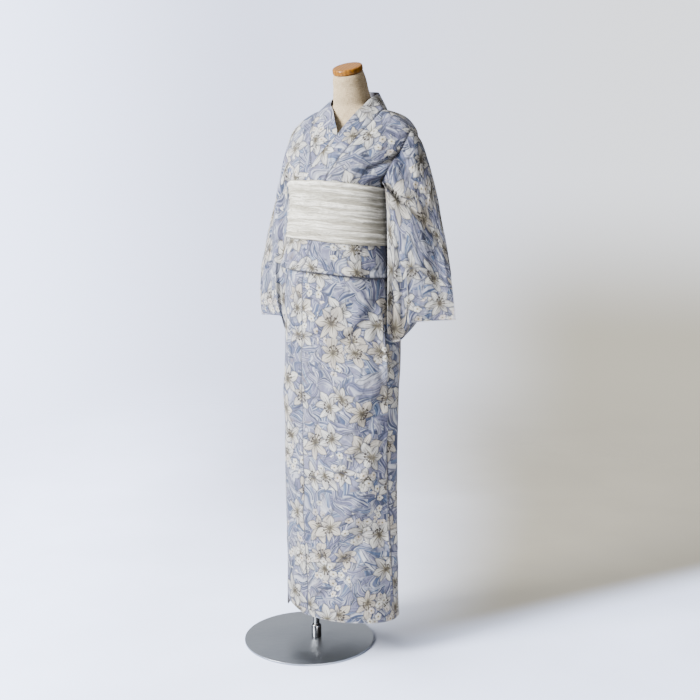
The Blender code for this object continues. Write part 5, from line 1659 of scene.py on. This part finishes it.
# %% [markdown]
# ## Linen
#
# Natural linen has slubs, short thick places in its threads.  Two noises stretched along and
# across give them, laid on the form's turn and height so that the threads stay level.

# %% Linen
def linen_cover():
    r = Recipe("linen")
    place = r.node("TexCoord").outputs["Object"]
    x, y, z = r.split(place)
    turn = r.mul(r.math("ARCTAN2", r.sub(x, 0.078), r.sub(0.088, y)), 0.05)
    flat = r.join(turn, z)
    slub_up = r.noise(r.vector("MULTIPLY", flat, (6.0, 0.55, 1.0)), 150.0, 2.0, 0.6)["Fac"]
    slub_round = r.noise(r.vector("MULTIPLY", flat, (0.55, 6.0, 1.0)), 150.0, 2.0, 0.6)["Fac"]
    warp = r.math("SINE", r.mul(turn, 4800.0))
    weft = r.math("SINE", r.mul(z, 4800.0))
    weave = r.mul(warp, weft)
    thread = r.add(r.mul(r.add(slub_up, slub_round), 0.5), r.mul(weave, 0.12))
    colour = r.mix(r.ramp(thread, 0.34, 0.64), (0.20, 0.150, 0.084), (0.44, 0.355, 0.236))
    speck = r.noise(flat, 900.0, 1.0)["Fac"]
    colour = r.mix(r.ramp(speck, 0.60, 0.74, 0.0, 0.5), colour, (0.27, 0.20, 0.14))
    seam = r.ramp(r.math("ABSOLUTE", r.sub(r.math("ABSOLUTE", turn), 0.0785)), 0.0012, 0.0002)
    colour = r.mix(r.mul(seam, 0.6), colour, (0.22, 0.17, 0.12))
    normal = r.relief(thread, 0.0007)
    normal = r.relief(r.mul(seam, -1.0), 0.0010, 1.0, normal)
    return r.finish(
        Base_Color=colour, Roughness=r.ramp(thread, 0.3, 0.7, 0.95, 0.85), Normal=normal,
        Sheen_Weight=0.08, Specular_IOR_Level=0.2,
    )


linen = linen_cover()
print("linen:", len(linen.node_tree.nodes), "nodes")


# %% [markdown]
# ## Turned, varnished wood
#
# The cap is cut from one stained block, so its rings and pores run straight through it, which
# is why the pattern reads the place in space and not the surface.

# %% Turned, varnished wood
def turned_wood():
    r = Recipe("turned_wood")
    place = r.node("TexCoord").outputs["Object"]
    drift = r.noise(place, 18.0, 2.0)["Fac"]
    x, y, z = r.split(place)
    ring = r.add(r.mul(x, 640.0), r.mul(y, 90.0), r.mul(drift, 7.0))
    band = r.ramp(r.math("SINE", ring), -0.6, 0.95)
    grain = r.noise(r.vector("MULTIPLY", place, (14.0, 1.2, 14.0)), 60.0, 4.0, 0.65)["Fac"]
    colour = r.mix(band, (0.078, 0.025, 0.002), (0.19, 0.071, 0.004))
    colour = r.mix(r.ramp(grain, 0.35, 0.70), colour, (0.25, 0.106, 0.008))
    pores = r.noise(r.vector("MULTIPLY", place, (30.0, 2.0, 30.0)), 90.0, 2.0)["Fac"]
    colour = r.mix(r.ramp(pores, 0.62, 0.72, 0.0, 0.6), colour, (0.12, 0.035, 0.008))
    normal = r.relief(grain, 0.00015)
    return r.finish(
        Base_Color=colour, Roughness=r.ramp(grain, 0.3, 0.7, 0.46, 0.36), Normal=normal,
        Specular_IOR_Level=0.15, Coat_Weight=0.14, Coat_Roughness=0.12,
    )


wood = turned_wood()
print("wood:", len(wood.node_tree.nodes), "nodes")


# %% [markdown]
# ## Steel
#
# The tube and socket are polished, with faint rings and smears.  The plate is brushed one way,
# so its noise is stretched along a turned axis.

# %% Steel
def polished_steel():
    r = Recipe("polished_steel")
    place = r.node("TexCoord").outputs["Object"]
    line = r.noise(r.vector("MULTIPLY", place, (1.0, 1.0, 22.0)), 60.0, 2.0)["Fac"]
    smear = r.noise(place, 45.0, 3.0)["Fac"]
    colour = r.mix(r.ramp(smear, 0.35, 0.7), (0.17, 0.17, 0.175), (0.27, 0.272, 0.28))
    rough = r.add(r.ramp(smear, 0.3, 0.7, 0.07, 0.15), r.ramp(line, 0.3, 0.7, 0.0, 0.04))
    normal = r.relief(line, 0.00002)
    return r.finish(Base_Color=colour, Metallic=1.0, Roughness=rough, Normal=normal)


def brushed_steel():
    r = Recipe("brushed_steel")
    place = r.node("TexCoord").outputs["Object"]
    turned = r.node("Mapping", {"Vector": place, "Rotation": (0, 0, math.radians(-38))}).outputs[0]
    brush = r.noise(r.vector("MULTIPLY", turned, (1.4, 60.0, 4.0)), 28.0, 4.0, 0.7)["Fac"]
    fine = r.noise(r.vector("MULTIPLY", turned, (2.0, 90.0, 8.0)), 90.0, 2.0, 0.6)["Fac"]
    smear = r.noise(place, 9.0, 3.0)["Fac"]
    colour = r.mix(r.ramp(brush, 0.30, 0.70), (0.232, 0.254, 0.290), (0.304, 0.328, 0.366))
    colour = r.mix(r.ramp(smear, 0.35, 0.7, 0.0, 0.4), colour, (0.33, 0.355, 0.395))
    rough = r.add(r.ramp(fine, 0.25, 0.75, 0.30, 0.42), r.ramp(smear, 0.3, 0.7, -0.03, 0.05))
    normal = r.relief(r.add(brush, fine), 0.00004)
    return r.finish(Base_Color=colour, Metallic=1.0, Roughness=rough, Normal=normal)


chrome = polished_steel()
steel = brushed_steel()
print("steel:", len(steel.node_tree.nodes), "nodes")


# %% [markdown]
# ## Put the pieces together
#
# Each panel is made for the left and the right, rides on the frame and takes the place of its
# CAD node.  The panels start at different places of the print, as strips cut from one bolt do.

# %% Robe
PANELS = (
    # panel, its maker, and where on the print its cloth starts, across and along
    ("body", body_panel, 0.0, {1: 0.11, -1: 7.37}),
    ("okumi", okumi, 3.1, {1: 1.3, -1: 5.2}),
    ("sleeve", sleeve, 5.0, {1: 2.2, -1: 4.4}),
)
made = {}
for side, word in ((1, "left"), (-1, "right")):
    for part, maker, across, along in PANELS:
        key = f"{part}_{word}"
        mesh = maker(side, key, (across, along[side]))
        made[key] = add_piece("cloth_" + key, mesh, key, "printed_cotton")
made["collar"] = add_piece("cloth_collar", collar("collar", (8.0, 0.4)), "collar", "printed_cotton")
made["obi"] = add_piece("cloth_obi", obi("obi"), "obi", "sash_cotton")
for key, piece in made.items():
    piece.data.materials.append(sash if key == "obi" else cotton)
print("robe:", list(made))

# %% [markdown]
# ## Form, cap and stand
#
# The cap sits tilted on the neck's slanted top.  The plate, socket and pole stand on one axis.

# %% Form, cap and stand
def stand_piece(name, mesh, node, slot, material):
    add_piece(name, mesh, node, slot).data.materials.append(material)

seat = Vector((0, NECK_TOP_Y, NECK_TOP + 0.0003)) + Vector(TORSO_AT)
tilt = Matrix.Translation(seat) @ Matrix.Rotation(NECK_TOP_TILT, 4, "X")
at_pole = Matrix.Translation((*POLE_AT, 0))
socket_bottom = BASE_THICKNESS + SEAM_GAP
socket_top = socket_bottom + SOCKET_HEIGHT
cap = spun("cap", rounded(CAP_RADIUS, 0, CAP_HEIGHT, 0.0045, 7), 120, tilt)
base = spun("base", rounded(BASE_RADIUS, 0, BASE_THICKNESS, 0.0012, 4), 256)
socket = rounded(SOCKET_RADIUS, socket_bottom, socket_top, 0.003, 6)
socket = spun("socket", socket, 72, at_pole)
pole = rounded(POLE_RADIUS, socket_top + SEAM_GAP, FORM_BOTTOM - SEAM_GAP, 0.0004, 3)
pole = spun("pole", pole, 48, at_pole)
stand_piece("form_linen", dress_form("form"), "dress_form", "linen", linen)
stand_piece("cap_wood", cap, "neck_cap", "turned_wood", wood)
stand_piece("base_steel", base, "base_plate", "brushed_steel", steel)
stand_piece("socket_steel", socket, "pole_socket", "polished_steel", chrome)
stand_piece("pole_steel", pole, "pole", "polished_steel", chrome)
print("socket from", socket_bottom, "to", socket_top, "m")

# %% [markdown]
# ## Sheets of cloth
#
# The sheets show only the cut of what is seen.  A real robe's cut is larger, because seam
# allowances and the folds inside are hidden.

# %% Print the sheets of cloth
print("sheets:", sorted(made))

# %% [markdown]
